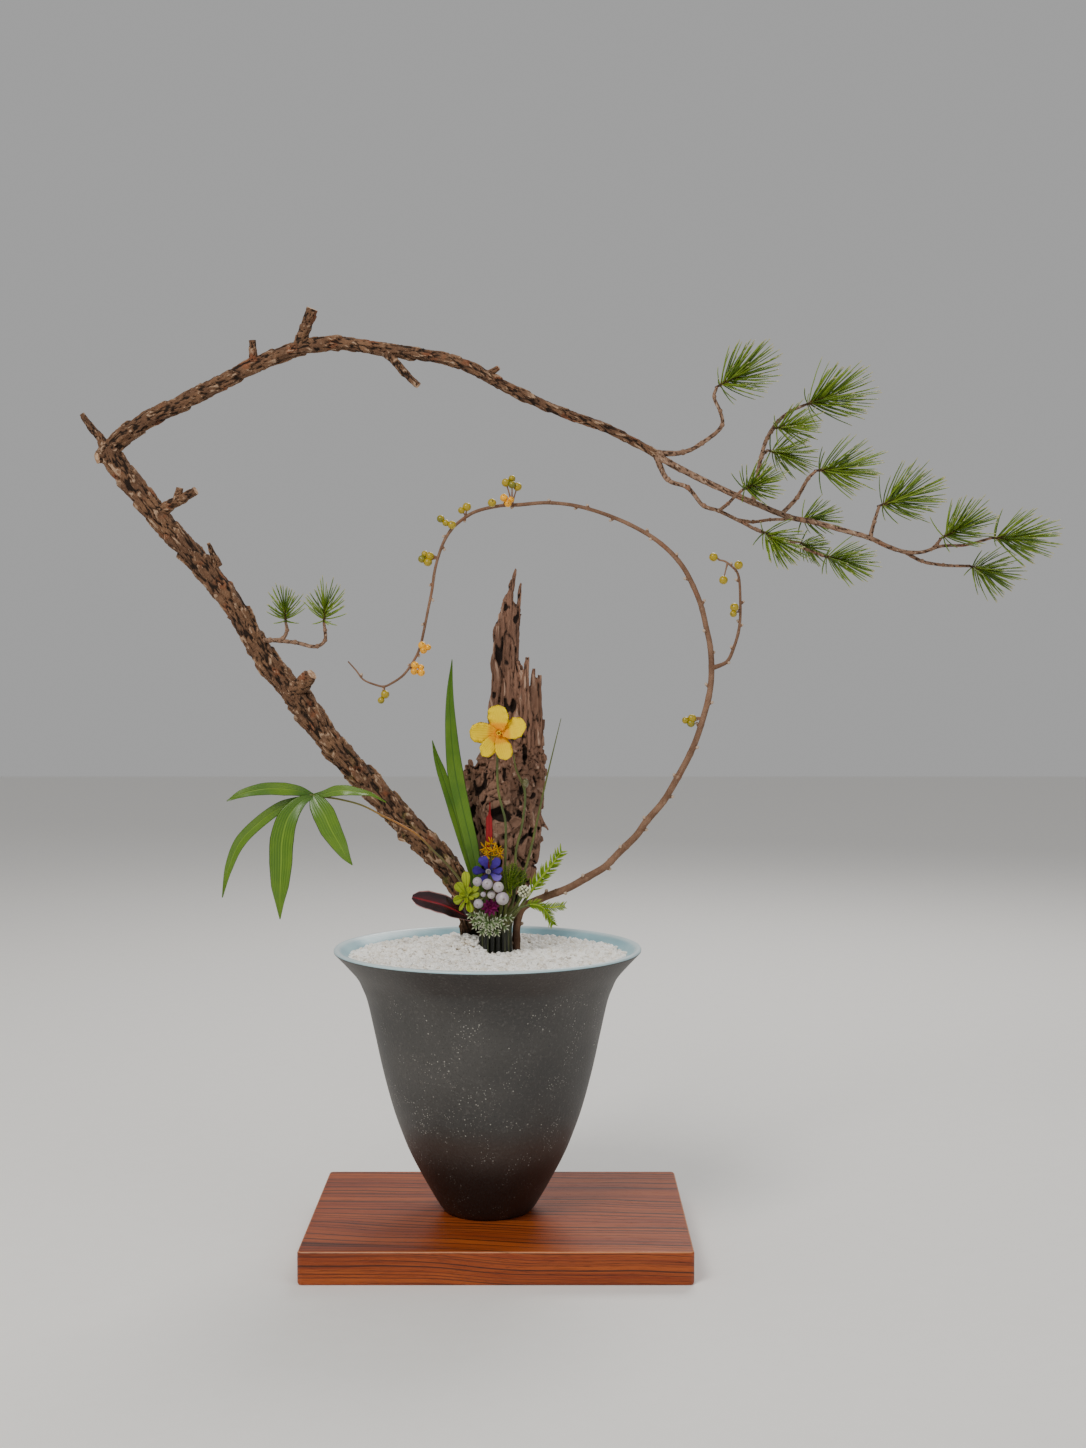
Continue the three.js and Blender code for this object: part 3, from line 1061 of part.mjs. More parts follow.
// Small pale-edged leaves that hang low over the front of the column
function paleLeaves() {
  const draw = seeded(31);
  const spine = rooted(-1, -2, [[-8.2, 255.6, -22, 1.2], [-8.2, 259.7, -27, 1]]);
  const hub = [-8.2, 259.7, -27];
  const tips = [
    [-25, 266, -27], [-21.5, 257, -30], [-15, 250.4, -32], [-8.2, 249, -33],
    [-1, 250, -31], [5.8, 254.6, -30], [10, 263.6, -27],
  ];
  const leaves = tips.map(([x, z, depth]) => {
    const [hubX, hubZ, hubDepth] = hub;
    const half = [(x + hubX) / 2, (z + hubZ) / 2 + draw(0.5, 1.5), (depth + hubDepth) / 2 - 1.5];
    return blade(route([
      [...hub, 0.8], [...half, 2.6], [x, z, depth, 0.5],
    ]), { steps: 2, across: 1, fold: 0 });
  });
  place('pale_edged_leaves', fuse([
    limb(spine, { sides: 4 }), bead(at(...hub), 1.8, 1, 5, 3), ...leaves,
  ]), leafPale);
}

board();
vase();
gravel([PINE_FOOT, VINE_FOOT, DRIFT_FOOT]);
pineBranch();
Object.entries({ ...PINE_TWIGS, end: BOUGH_END }).forEach(([name, twig], number) => {
  pineTuft(`pine_tuft_${name}`, twig, 100 + number);
});
berryVine();
driftwood();
swordLeaves();
grassBlade();
leafSpray();
yellowFlower();
budStem();
redBlade();
darkLeaf();
goldenSpray();
blueFlower();
paleFruits();
knobblyHead();
magentaFlower();
limeRosette();
fernSprigs();
featheryTuft();
paleLeaves();

export default group;
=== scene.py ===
"""The flower arrangement, dressed: fine pieces stand where the plain solids are."""
import math
import bpy
import numpy as np
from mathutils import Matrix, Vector, noise
from mathutils.bvhtree import BVHTree


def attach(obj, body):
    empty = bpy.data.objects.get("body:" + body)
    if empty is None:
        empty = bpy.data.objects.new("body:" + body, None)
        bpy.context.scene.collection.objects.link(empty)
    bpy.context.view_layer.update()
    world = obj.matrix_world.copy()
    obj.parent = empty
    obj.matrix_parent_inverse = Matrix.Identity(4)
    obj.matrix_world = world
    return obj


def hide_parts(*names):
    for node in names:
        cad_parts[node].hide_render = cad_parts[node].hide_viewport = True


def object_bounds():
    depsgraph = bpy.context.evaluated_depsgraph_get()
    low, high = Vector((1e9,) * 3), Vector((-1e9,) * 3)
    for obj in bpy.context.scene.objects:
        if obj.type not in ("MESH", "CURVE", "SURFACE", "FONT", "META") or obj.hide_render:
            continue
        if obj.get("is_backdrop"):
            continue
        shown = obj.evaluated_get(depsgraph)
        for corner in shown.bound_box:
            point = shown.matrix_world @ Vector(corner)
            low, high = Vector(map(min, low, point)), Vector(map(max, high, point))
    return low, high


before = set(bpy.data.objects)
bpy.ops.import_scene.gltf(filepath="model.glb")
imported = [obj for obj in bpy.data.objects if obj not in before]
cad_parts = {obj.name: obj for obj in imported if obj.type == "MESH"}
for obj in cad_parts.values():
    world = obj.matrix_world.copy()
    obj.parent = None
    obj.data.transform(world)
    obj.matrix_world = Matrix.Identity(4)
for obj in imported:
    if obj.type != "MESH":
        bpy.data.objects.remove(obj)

cad_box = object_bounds()

MM = 0.001
# Blender's own noise is warped by the clock unless its seed is set
SEEDS = {"noise": 11, "gravel": 5, "driftwood": 11, "vine": 41, "golden": 7, "pale": 31, "tufts": 100}
noise.seed_set(SEEDS["noise"])
FULL_TURN = 2 * math.pi
GOLDEN_TURN = math.pi * (3 - math.sqrt(5))
UP = np.array([0.0, 0.0, 1.0])
# The viewpoint in millimetres, how many degrees it looks down, and its lens on a 36 mm film
EYE, EYE_PITCH = np.array([36.0, -1544.0, 479.0]), 2.05
FILM = 36
LENS = 1901 / 1448 * FILM
# The stems are drawn in an upright plane; FRONT points from it to the eye
PLANE_Y = 15
FRONT = np.array([0.0, -0.993, 0.119])

# The two sizes after the ease place the painted highlight on the top edge: its height and its width
BOARD = {"half": (151.5, 113.5), "height": 26, "corner": 4, "ease": 2, "least_corner": 0.4,
         "highlight_height": 0.6, "highlight_width": 1.6, "underside_rings": (30, 6)}
# The innermost ring of what is turned round the vase's axis; a fan closes it
INNERMOST = 8
# The vase: radius and height, under the foot, up the outside, over the lip and down the inside
VASE_AXIS_X = -9
VASE_FOOT = [[INNERMOST, 26.3], [32, 26.3], [34.4, 26.4]]
OUTER_PROFILE = [[35, 26.3], [40.5, 33], [52, 53], [62.5, 73], [69.6, 90], [77.3, 112], [85.3, 142],
    [92.3, 174], [97.8, 198.5], [102, 210], [106.5, 219], [115.5, 229.5], [125, 239.5]]
LIP = [[125.15, 240.7], [124.4, 241.8], [123.2, 242.05]]
INNER_PROFILE = [[122, 242], [111, 233.5], [100, 217], [92.5, 198], [87, 174], [80, 142], [72, 112],
    [64, 89], [54, 70], [43, 53], [33, 42]]
VASE_FLOOR = [[INNERMOST, 41.6]]
BED = {"radius": 113.5, "crown": 236.6, "edge": 235.8, "floor": 205, "under": 2.4}
STONES = {"pitch": 3.05, "row": 0.87, "rows": 42, "columns": 38, "stray": 1.1, "size": (1.4, 2.7),
          "shape": 0.2, "rough": (0.86, 1.14), "flat": 0.85, "sunk": 2.3, "uneven": 1.3,
          "layers": (1.0, 0.6), "layer_rise": 1.8, "edge_share": 0.7}
# Heaps and hollows raked in the gravel: x, y, how far each spreads, and its rise
GRAVEL_SWELLS = [[-42, 50, 16, -2.6], [32, 52, 15, -2.6], [-62, -26, 20, -1.4], [58, -38, 22, -1.2],
    [-8, 78, 24, 1.2], [-72, 34, 18, 1.2], [72, 12, 18, 1.1], [-4, -52, 26, 1.3], [-27, 15, 11, 13],
    [27, 33, 8, -2.2]]
# Where the gravel is left clear: the limbs' feet as x, y and radius, and the well of the stem column
FEET = {"pine": (-23, 27, 7), "vine": (14, 20, 3.2), "driftwood": (0, 41, 8)}
WELL = {"x": -3, "y": 11, "radius": 15.4, "floor": 205, "top": 257, "pitch": (2.3, 4.1), "stem": 2.15}
NEEDLES = {"count": 74, "length": (25, 33), "radius": 0.55, "reach": 21, "strays": 4,
           "spread": (0.12, 1.06), "flat_spread": (0.15, 1.4)}
FLAT_TUFTS = ("trunk_left", "trunk_right")
TUFT_SIZES = {
    "trunk_left": 0.6, "trunk_right": 0.66, "rising": 1.05, "crown": 1.12, "crown_near": 0.76,
    "crown_far": 0.88, "middle": 1.03, "fork_high": 0.82, "fork_far": 0.7, "fork_low": 0.84,
    "under_far": 0.62, "under": 0.84, "upper_end": 1.08, "near_end": 0.9, "lower_end": 0.9}
# Stations of x, z, depth and radius, in millimetres, as the part has them
PINE_TRUNK = [[-23.8, 258.1, 12, 8.2], [-28.7, 278.6, 13, 9.6], [-40.2, 302.3, 14, 10.8],
    [-58.2, 322.8, 15, 11], [-77.1, 341.7, 16, 10.8], [-104.1, 371.2, 18, 10.5], [-134.5, 403.2, 20, 10.2],
    [-147.6, 419.6, 21, 10], [-160.7, 438.5, 22, 11.2], [-177.1, 459, 23, 10], [-189.4, 473.7, 24, 9.6],
    [-202.5, 495, 25, 9.6], [-214, 515.5, 25.5, 9.5], [-231.2, 538.5, 26, 9.4], [-249.3, 560.6, 27, 9.4],
    [-267.3, 580.3, 28, 9.3], [-282.1, 597.5, 28.5, 9.3], [-292.7, 610.7, 29, 9.2], [-310, 632, 30, 9],
    [-319, 645.9, 30, 8.6]]
PINE_ARCH = [[-323.1, 640.2, 30, 8], [-309.1, 655.8, 30, 7.8], [-288.6, 670.5, 29, 7.2],
    [-258.3, 685.3, 27, 6.8], [-229.6, 700, 25, 6.6], [-199.3, 715.6, 22, 6.4], [-168.1, 727.9, 19, 6.3],
    [-146.8, 732.8, 17, 6.2], [-129.6, 733.7, 15, 6], [-99.2, 729.6, 12, 5.7], [-74.6, 726.3, 10, 5.4],
    [-39.4, 719.7, 7, 5.1], [-22.1, 713.2, 5, 4.9], [-4.9, 704.1, 3, 4.8], [12.3, 695.1, 1, 4.6],
    [29.5, 686.9, -1, 4.4], [46.7, 679.5, -3, 4.2], [64, 673, -5, 4], [81.2, 667.2, -8, 3.9],
    [98.4, 659.9, -10, 3.7], [115.6, 650.8, -13, 3.5], [128.7, 643.5, -15, 3.3]]
PINE_BOUGH = [[122.2, 647.6, -14, 3.3], [138.6, 636.9, -16, 3], [159.1, 626.2, -18, 2.7],
    [185.3, 613.9, -21, 2.5], [209.9, 603.3, -24, 2.4], [237, 592.6, -27, 2.3], [256.7, 588.5, -29, 2.2],
    [277.2, 582.8, -31, 2.1], [303.4, 575.4, -33, 2], [317.3, 568.8, -34, 1.9], [332.9, 563.9, -35, 1.7],
    [346, 563.9, -36, 1.5], [361.6, 568.8, -37, 1.3], [381.3, 569.7, -38, 1.2], [402.6, 575.4, -39, 1.1]]
PINE_STUBS = [[[-320.6, 645.9, 30, 5.5], [-324.7, 655.8, 30, 3.8], [-332.9, 665.6, 29, 3],
    [-340.3, 676.3, 28, 2.2]], [[-319, 642.6, 30, 7], [-328.3, 640.9, 23.8, 4.8]],
    [[-199.3, 715.6, 22, 4.6], [-200.1, 725.5, 21, 3.4], [-200.9, 736.1, 20, 3]], [[-164, 727.1, 19, 6],
    [-159.9, 739.4, 17, 5.3], [-155.8, 750.9, 15, 4.9], [-151.7, 761.5, 13, 5.1]], [[-95.9, 730.4, 12, 4.6],
    [-85.3, 719.7, 9, 3.5], [-75.4, 708.2, 6, 3.1], [-65.6, 699.2, 4, 2.8]], [[-279.6, 593.4, 28, 6.5],
    [-268.1, 602.5, 23, 4.8], [-257.5, 608.2, 19, 4.1], [-247.6, 613.9, 16, 3.4]],
    [[-263.2, 604.9, 21, 4.2], [-260.8, 616.4, 20, 2.6]], [[-229.6, 552.4, 26, 4],
    [-237.8, 571.3, 20, 1.5]], [[-169.7, 447.5, 20, 8.5], [-159.9, 457.3, 14, 7], [-153.3, 463.9, 10, 5.2]],
    [[-12.3, 705.8, 4, 3.6], [0, 714, 0, 2]], [[-77.1, 337.6, 10, 8], [-80.4, 327.8, 5, 3.6]]]
# Each twig with the way that its tuft points
PINE_TWIGS = {"trunk_left": [[-0.05, -0.1, 1], [[-194.3, 491.8, 24, 3], [-187.8, 491.8, 19, 1.9],
    [-177.1, 493.4, 14, 1.7], [-173.8, 500, 12, 1.5], [-174.7, 506.5, 11, 1.2]]],
    "trunk_right": [[0.1, -0.1, 1], [[-184.5, 491.8, 17, 1.9], [-167.3, 490.1, 10, 1.7],
    [-149.2, 486.8, 4, 1.6], [-142.7, 491.8, 2, 1.5], [-142.7, 500, 1, 1.4], [-143.5, 506.5, 0, 1.2]]],
    "rising": [[0.8, -0.25, 0.4], [[127.1, 644.3, -15, 3], [150.1, 645.1, -20, 2], [165.6, 652.5, -24, 1.8],
    [182, 667.2, -28, 1.6], [180.4, 678.7, -30, 1.5], [175.5, 690.2, -31, 1.4], [177.9, 698.4, -32, 1.2]]],
    "crown": [[1, -0.1, 0.3], [[207.5, 604.1, -24, 2.2], [210.7, 623, -20, 1.8], [214, 641, -16, 1.7],
    [218.9, 656.6, -13, 1.6], [228, 670.5, -11, 1.5], [238.6, 678.7, -10, 1.4], [249.3, 683.6, -9, 1.2]]],
    "crown_near": [[0.9, -0.45, 0.06], [[218.9, 656.6, -13, 1.5], [222.2, 661.5, -20, 1.3],
    [224.7, 664.8, -27, 1.1]]], "crown_far": [[0.85, 0.5, -0.12], [[214.8, 642.6, -16, 1.5],
    [217.3, 645.1, -8, 1.3], [219.8, 646.7, 1, 1.1]]], "middle": [[1, -0.1, 0.06], [[231.2, 595.1, -26, 2],
    [243.5, 608.2, -29, 1.6], [252.6, 623.8, -31, 1.4], [259.1, 630.3, -32, 1.2]]],
    "fork_high": [[0.5, -0.7, 0.18], [[179.6, 597.5, -8, 1.6], [187, 603.3, -20, 1.4],
    [193.5, 609.8, -32, 1.3], [199.3, 614.8, -36, 1.2]]], "fork_far": [[1, 0.35, 0.04],
    [[195.2, 590.2, -8, 1.5], [207.5, 588.5, -4, 1.4], [221.4, 590.2, 0, 1.3], [246, 591, 4, 1.2]]],
    "fork_low": [[0.6, -0.5, -0.5], [[201.7, 586.9, -8, 1.4], [209.1, 582.8, -18, 1.3],
    [214.8, 581.1, -24, 1.2]]], "under_far": [[0.9, 0.55, -0.4], [[228.8, 575.4, -13, 1.4],
    [237.8, 572.9, -4, 1.3], [246, 572.1, 4, 1.1]]], "under": [[0.95, -0.15, -0.22],
    [[127.9, 643.5, -15, 3], [137.8, 623, -11, 1.9], [154.2, 616.4, -10, 1.8], [167.3, 601.6, -9, 1.7],
    [179.6, 597.5, -8, 1.6], [196.8, 589.3, -8, 1.5], [210.7, 582, -10, 1.4], [228.8, 575.4, -13, 1.4],
    [246.8, 568, -16, 1.3], [265.7, 560.6, -18, 1.2]]], "upper_end": [[0.85, 0.1, 0.3],
    [[303.4, 575.4, -33, 1.9], [306.7, 588.5, -30, 1.5], [310.8, 601.6, -27, 1.2]]],
    "near_end": [[0.8, -0.45, 0.46], [[353.4, 565.6, -36, 1.4], [358.3, 570.5, -44, 1.3],
    [361.6, 575.4, -49, 1.2]]], "lower_end": [[0.85, 0.3, -0.22], [[332.1, 563.9, -35, 1.6],
    [346, 556.5, -30, 1.4], [363.3, 553.3, -26, 1.3], [385.4, 552.4, -23, 1.2]]]}
VINE_STEM = [[14.4, 257, 5, 3.3], [18.9, 271.2, 3, 3.3], [34.4, 279.4, 0, 3.2], [57.4, 288.4, -4, 3.1],
    [74.6, 298.2, -7, 3.1], [86.9, 305.6, -9, 3], [99.2, 317.9, -12, 3], [113.2, 331.9, -15, 2.9],
    [120.5, 342.5, -17, 2.9], [134.5, 358.9, -20, 2.8], [143.5, 373.7, -22, 2.7], [155.8, 396.6, -25, 2.6],
    [161.5, 409.8, -26, 2.5], [167.3, 427.8, -27, 2.5], [173, 450.8, -28, 2.4], [174.2, 468, -28, 2.4],
    [173, 486.8, -28, 2.3], [169.7, 502.4, -28, 2.2], [165.6, 519.6, -28, 2.2], [158.3, 537.7, -27, 2.1],
    [150.1, 552.4, -26, 2], [139.4, 564.7, -24, 1.9], [126.3, 575.4, -22, 1.8], [112.3, 583.6, -20, 1.7],
    [98.4, 590.2, -18, 1.6], [78.7, 597.5, -15, 1.5], [58.2, 602.5, -12, 1.5], [37.7, 604.1, -10, 1.5],
    [17.2, 602.5, -8, 1.5], [0.8, 601.6, -7, 1.4], [-19.7, 596.7, -6, 1.4], [-30.3, 590.2, -6, 1.3],
    [-38.5, 582.8, -6, 1.3], [-44.3, 573.8, -6, 1.3], [-48.4, 563.9, -6, 1.2], [-52.5, 549.2, -7, 1.2],
    [-54.9, 532.8, -8, 1.2], [-58.2, 516.4, -9, 1.1], [-61.5, 500, -10, 1.1], [-65.6, 483.6, -11, 1.1],
    [-71.3, 472.9, -12, 1], [-78.7, 463.1, -13, 1], [-86.9, 457.3, -14, 0.9], [-94.3, 454, -15, 0.9],
    [-102.5, 455.7, -16, 0.8], [-111.5, 459.8, -17, 0.7], [-117.3, 467.2, -18, 0.65],
    [-123.8, 474.5, -19, 0.5]]
VINE_SHOOT = [[173.8, 468.8, -28, 2.2], [181.2, 471.3, -31, 1.6], [187, 474.5, -33, 1.5],
    [192.7, 486.8, -36, 1.3], [196.8, 502.4, -38, 1.2], [197.6, 522.1, -38, 1.1], [195.2, 546.7, -36, 1],
    [190.2, 552.4, -35, 0.9], [184.5, 556.5, -34, 0.8], [180.4, 557.4, -33, 0.7]]
# Each bunch with its kind, the place of its stalks' root, and its berries
BERRY_BUNCHES = [["berries_top", "olive", [10.7, 602.5, -8], [[5.7, 620.5, -10], [10.7, 623.8, -9],
    [10.7, 618.9, -12], [15.2, 617.2, -9]]], ["berries_top_low", "orange", [4.9, 601.6, -8],
    [[4.1, 608.2, -14], [9.8, 606.6, -14], [7.4, 603.3, -17]]], ["berry_top_left", "olive", [-7.4, 600, -7],
    [[-5.7, 604.1, -14]]], ["berries_shoulder", "olive", [-27.1, 592.6, -6], [[-26.2, 600.8, -7],
    [-30.7, 597.9, -7]]], ["berries_left_bend", "olive", [-38.5, 582.8, -6], [[-38.5, 586.1, -12],
    [-43.5, 587.7, -11.5], [-47.6, 591, -10.5]]], ["berries_left_high", "olive", [-49.2, 559, -6],
    [[-56.6, 560.6, -7], [-60.7, 562.3, -6], [-63.1, 558.2, -7], [-58.2, 555.7, -8]]],
    ["berries_left_low", "orange", [-65.6, 483.6, -11], [[-63.1, 487.7, -18], [-58.2, 486, -18],
    [-61.9, 483.6, -19]]], ["berries_tail", "orange", [-73.8, 468.8, -12], [[-68.9, 471.3, -19],
    [-64, 469.6, -18], [-69.7, 466.3, -21], [-64, 465.5, -18]]],
    ["berries_tail_end", "olive", [-94.3, 454, -15], [[-93.5, 447.5, -15], [-96.8, 442.6, -15]]],
    ["berry_shoot_tip", "olive", [180.4, 557.4, -33], [[175.5, 559.8, -33]]],
    ["berry_shoot_inner", "olive", [187, 554.9, -34], [[183.7, 541, -34]]],
    ["berry_shoot_bend", "olive", [193.5, 548.3, -36], [[196, 553.3, -42]]],
    ["berries_shoot_low", "olive", [197.6, 514.7, -38], [[192.7, 518.8, -43], [191.9, 513.5, -43]]],
    ["berries_right", "olive", [167.3, 427.8, -27], [[158.3, 427.8, -27], [152.9, 426.2, -27],
    [157.4, 423.7, -28]]]]
DRIFT_HEART = [[10.7, 522.9, 25, 4], [4.9, 491.8, 25, 9], [6.6, 459, 25, 14], [11.5, 426.2, 25, 20],
    [10.7, 398.3, 25, 24], [5.7, 368.8, 25, 30], [7.4, 340.1, 25, 28], [7.4, 313, 25, 24],
    [8.2, 290.9, 25, 17], [3.6, 268.7, 25, 11]]
DRIFT_STRANDS = [[[13.9, 550.8, 24, 1.2], [10.7, 536.9, 24, 2.9], [6.6, 516.4, 24, 4.6],
    [3.3, 491.8, 23, 4.2], [2.5, 442.6, 23, 6], [4.9, 393.4, 23, 7.5], [7.4, 344.2, 24, 8],
    [9, 303.2, 25, 8]], [[18, 538.5, 29, 1.2], [16.4, 524.6, 29, 2.5], [13.9, 500, 29, 2.8],
    [12.3, 459, 29, 4.6], [14.8, 409.8, 29, 6.6], [18, 360.6, 29, 7.4], [18.9, 311.4, 28, 7.5]],
    [[4.9, 523.7, 20, 1], [0.8, 513.1, 20, 1.8], [-2.5, 491.8, 20, 3], [-4.1, 450.8, 20, 3.8],
    [-3.3, 409.8, 20, 5.4], [-0.8, 360.6, 20, 6.6]], [[23, 478.6, 22, 2], [21.3, 459, 22, 3.6],
    [22.1, 426.2, 22, 5], [23.8, 377, 22, 6.6], [23.8, 319.6, 23, 6]], [[28.7, 469.6, 27, 2],
    [27.9, 450.8, 27, 3.2], [29.5, 409.8, 27, 4.4], [30.3, 360.6, 26, 5.2], [26.2, 311.4, 26, 4.6]],
    [[33.6, 463.9, 24, 1.9], [33.6, 442.6, 24, 2.6], [34.4, 405.7, 24, 3.2], [34.4, 368.8, 24, 4],
    [32, 327.8, 24, 4]], [[36.5, 427.8, 28, 2], [35.3, 405.7, 28, 2.4], [34.4, 368.8, 28, 4]],
    [[-13.1, 399.1, 22, 2.5], [-17.2, 381.1, 23, 5.4], [-16.4, 352.4, 23, 6.6], [-11.5, 319.6, 24, 5.6],
    [-1.6, 286.8, 25, 5.5]], [[-27.1, 390.9, 25, 2.5], [-25.4, 377, 25, 3.8], [-23, 356.5, 25, 4.6],
    [-16.4, 327.8, 25, 4.4], [-7.4, 303.2, 25, 5]], [[-8.2, 409.8, 18, 2.2], [-9.8, 385.2, 17, 3.6],
    [-7.4, 352.4, 17, 4.4], [-1.6, 319.6, 20, 5]], [[41, 335.1, 22, 1], [34.4, 345.8, 22, 2.6],
    [27.9, 360.6, 21, 4], [17.2, 372, 18, 4]], [[-23.8, 393.4, 20, 1.9], [-18.9, 368.8, 18, 3],
    [-10.7, 350.7, 16, 3.6], [2.5, 342.5, 15, 3.4], [17.2, 350.7, 15, 3.2], [27.9, 367.1, 17, 3]]]
DRIFT_KNOTS = [[[4.9, 368.8, 15], 5.6], [[20.5, 348.3, 16], 5.8], [[11.5, 326.1, 18], 6.4],
    [[27.9, 329.4, 20], 4.6], [[3.3, 304.8, 21], 6]]
# The driftwood is worn to the full depth where it is this stout, and is gnarled below a height
DRIFT_STOUT, DRIFT_GNARLED, DRIFT_CHANGE = 12, 405, 60
SPRAY_LEAVES = [[[-152.5, 364.7, -16, 1.2], [-163.2, 367.9, -17, 4], [-176.3, 369.6, -19, 5.3],
    [-194.3, 369.6, -22, 5], [-212.4, 365.5, -25, 3.2], [-223.9, 359.7, -27, 0.4]],
    [[-152.5, 363.8, -16, 1], [-163.2, 360.6, -14, 3.2], [-177.9, 355.6, -12, 4.6], [-192.7, 345.8, -11, 5],
    [-212.4, 326.9, -10, 4.9], [-222.2, 305.6, -9, 3.4], [-228, 280.2, -9, 0.4]], [[-152.5, 363.8, -17, 1],
    [-162.5, 359.5, -20, 4.6], [-173, 347, -23, 8.4], [-178.4, 328, -25, 9.8], [-179.4, 308.7, -26, 9.4],
    [-180.3, 289.2, -27, 7.2], [-180.6, 276, -27.5, 3.6], [-180.6, 262.2, -28, 0.4]],
    [[-152.5, 363.8, -17, 3.5], [-149, 357.5, -20, 7.4], [-144, 349, -23, 9.2], [-138.4, 336.6, -25.5, 8.8],
    [-131, 323.4, -27, 6.4], [-125.7, 313.8, -27.6, 3.4], [-120.8, 307, -28, 0.4]],
    [[-152.5, 364.7, -16, 1.2], [-144.4, 365.6, -18.5, 2.8], [-134.6, 368.1, -21.5, 4.4],
    [-124.9, 368.6, -24, 4.2], [-115.1, 367.3, -25.6, 3], [-106.2, 365.7, -27, 1.7], [-98.8, 362.1, -28, 1],
    [-92.9, 358.7, -29, 0.4]]]
FRUITS = [[[-18, 293.3, -34], 3.8], [[-9.8, 291.3, -35], 4.4], [[-0.8, 288.8, -34], 4.4],
    [[-17.2, 275.1, -32], 3.9], [[2.5, 279.4, -34], 5.3], [[-6.5, 282.6, -31], 3.4], [[-13.2, 282.8, -32],
    2.2]]
TUFT_TIPS = [[9.8, 308.1, -14], [15.6, 305.6, -12], [22.1, 300.7, -11], [3.5, 303, -15], [20, 294, -15],
    [12.8, 308.4, -12], [6.2, 306.4, -12], [18.4, 303.4, -14], [22.6, 297, -13], [12, 302, -10]]
PALE_TIPS = [[-25, 266, -27], [-22.5, 260, -30], [-20.5, 255.5, -30], [-15, 250.4, -32], [-8.2, 249, -33],
    [-1, 250, -31], [5.8, 254.6, -30], [10, 263.6, -27], [-17, 266.5, -27], [2, 259, -30], [-11, 255, -34],
    [-4, 256, -34]]
# Each stem's slot in the column, and its stations above
STEMS = {"sword_leaf_tall": [[-4, 1], [[-14.8, 272, -3, 1.8], [-16.4, 288.4, -4.5, 1.2]]],
    "sword_leaf_short": [[-3, 2], [[-18, 276.9, 3, 1.7], [-20.5, 290.9, 1.5, 1]]], "grass_blade": [[5, 0],
    [[14.8, 274.5, 1, 1.5], [18.9, 295, 3, 1.3], [24.6, 314.6, 4, 1.1], [37.7, 372.9, 2, 0.75],
    [50.8, 427.8, 0, 0.25]]], "flower_stem": [[1, 0], [[2.5, 278.6, -6, 1.3], [4.9, 311.4, -8, 1.1],
    [4.9, 344.2, -9, 1], [2.5, 354, -9, 1], [-0.8, 368.8, -10, 1], [-1.6, 389.3, -12, 1],
    [-1.2, 403.2, -14.6, 1.2]]], "bud_stem": [[2, 1], [[11.5, 278.6, -4, 1.3], [13.9, 319.6, -4, 1.1],
    [18, 336, -4, 1], [21.3, 360.6, -4, 1], [20.5, 370.4, -4, 1.1], [13.9, 386, -4, 0.8],
    [11.5, 399.1, -4, 0.5]]], "red_blade": [[-3, 0], [[-9.8, 278.6, -8, 1.5], [-8.2, 303.2, -8, 1.1]]],
    "dark_red_leaf": [[-4, -1], [[-21.3, 261.3, -12, 1.4], [-28.7, 264.6, -13, 1]]],
    "golden_spray": [[-1, 0], [[-5.7, 278.6, -9, 1.3], [-6.6, 304.8, -13, 1.1], [-6.6, 311.4, -14, 1]]],
    "blue_flower": [[0, -1], [[-4.9, 274.5, -13, 1.4], [-7.4, 290.9, -17, 1.2], [-9, 301.5, -21, 1.1]]],
    "pale_fruits": [[-2, -1], [[-11.5, 270.4, -11, 1.4], [-10.7, 281, -15, 1.2]]], "knobbly_head": [[2, -1],
    [[7.4, 266.3, -14, 1.3], [14.8, 274.5, -17, 1.1], [19.7, 282.7, -18, 1]]], "magenta_flower": [[1, -2],
    [[-4.9, 260.5, -17, 1.1], [-7.4, 272, -22, 1]]], "lime_rosette": [[-3, -2], [[-20.5, 263.8, -18, 1.3],
    [-26.2, 281.4, -24, 1]]], "fern_sprig_upper": [[4, -1], [[13.1, 266.3, -9.5, 1.3],
    [22.1, 279.4, -11, 1.2], [32, 293.3, -14, 1.1], [42.6, 306.4, -17, 1], [51.7, 318.7, -20, 0.5]]],
    "fern_sprig_lower": [[3, -2], [[8.2, 263.8, -19, 1.2], [16.4, 271.2, -23, 1.1], [25.4, 274.5, -25, 1],
    [34.4, 272.8, -27, 1], [40.2, 266.3, -28, 0.9], [44.3, 257.2, -29, 0.5]]], "feathery_tuft": [[3, 0],
    [[5.7, 273.6, -6, 1.3], [9, 285.1, -13, 1.1]]], "leaf_spray": [[-5, 0], [[-21.3, 274.5, -10, 1.6],
    [-31.2, 293.3, -9, 1.4], [-42.6, 307.3, -8, 1.3], [-54.9, 319.6, -8, 1.2], [-67.2, 331.9, -9, 1.2],
    [-80.4, 340.1, -10, 1.1], [-96.8, 348.3, -12, 1.1], [-113.2, 356.5, -14, 1.1], [-132, 361.4, -15, 1.1],
    [-148.4, 363.8, -16, 1.3], [-155.8, 364.7, -16, 1.3]]], "pale_edged_leaves": [[-1, -2],
    [[-8.2, 255.6, -22, 1.2], [-8.2, 259.7, -27, 1]]]}
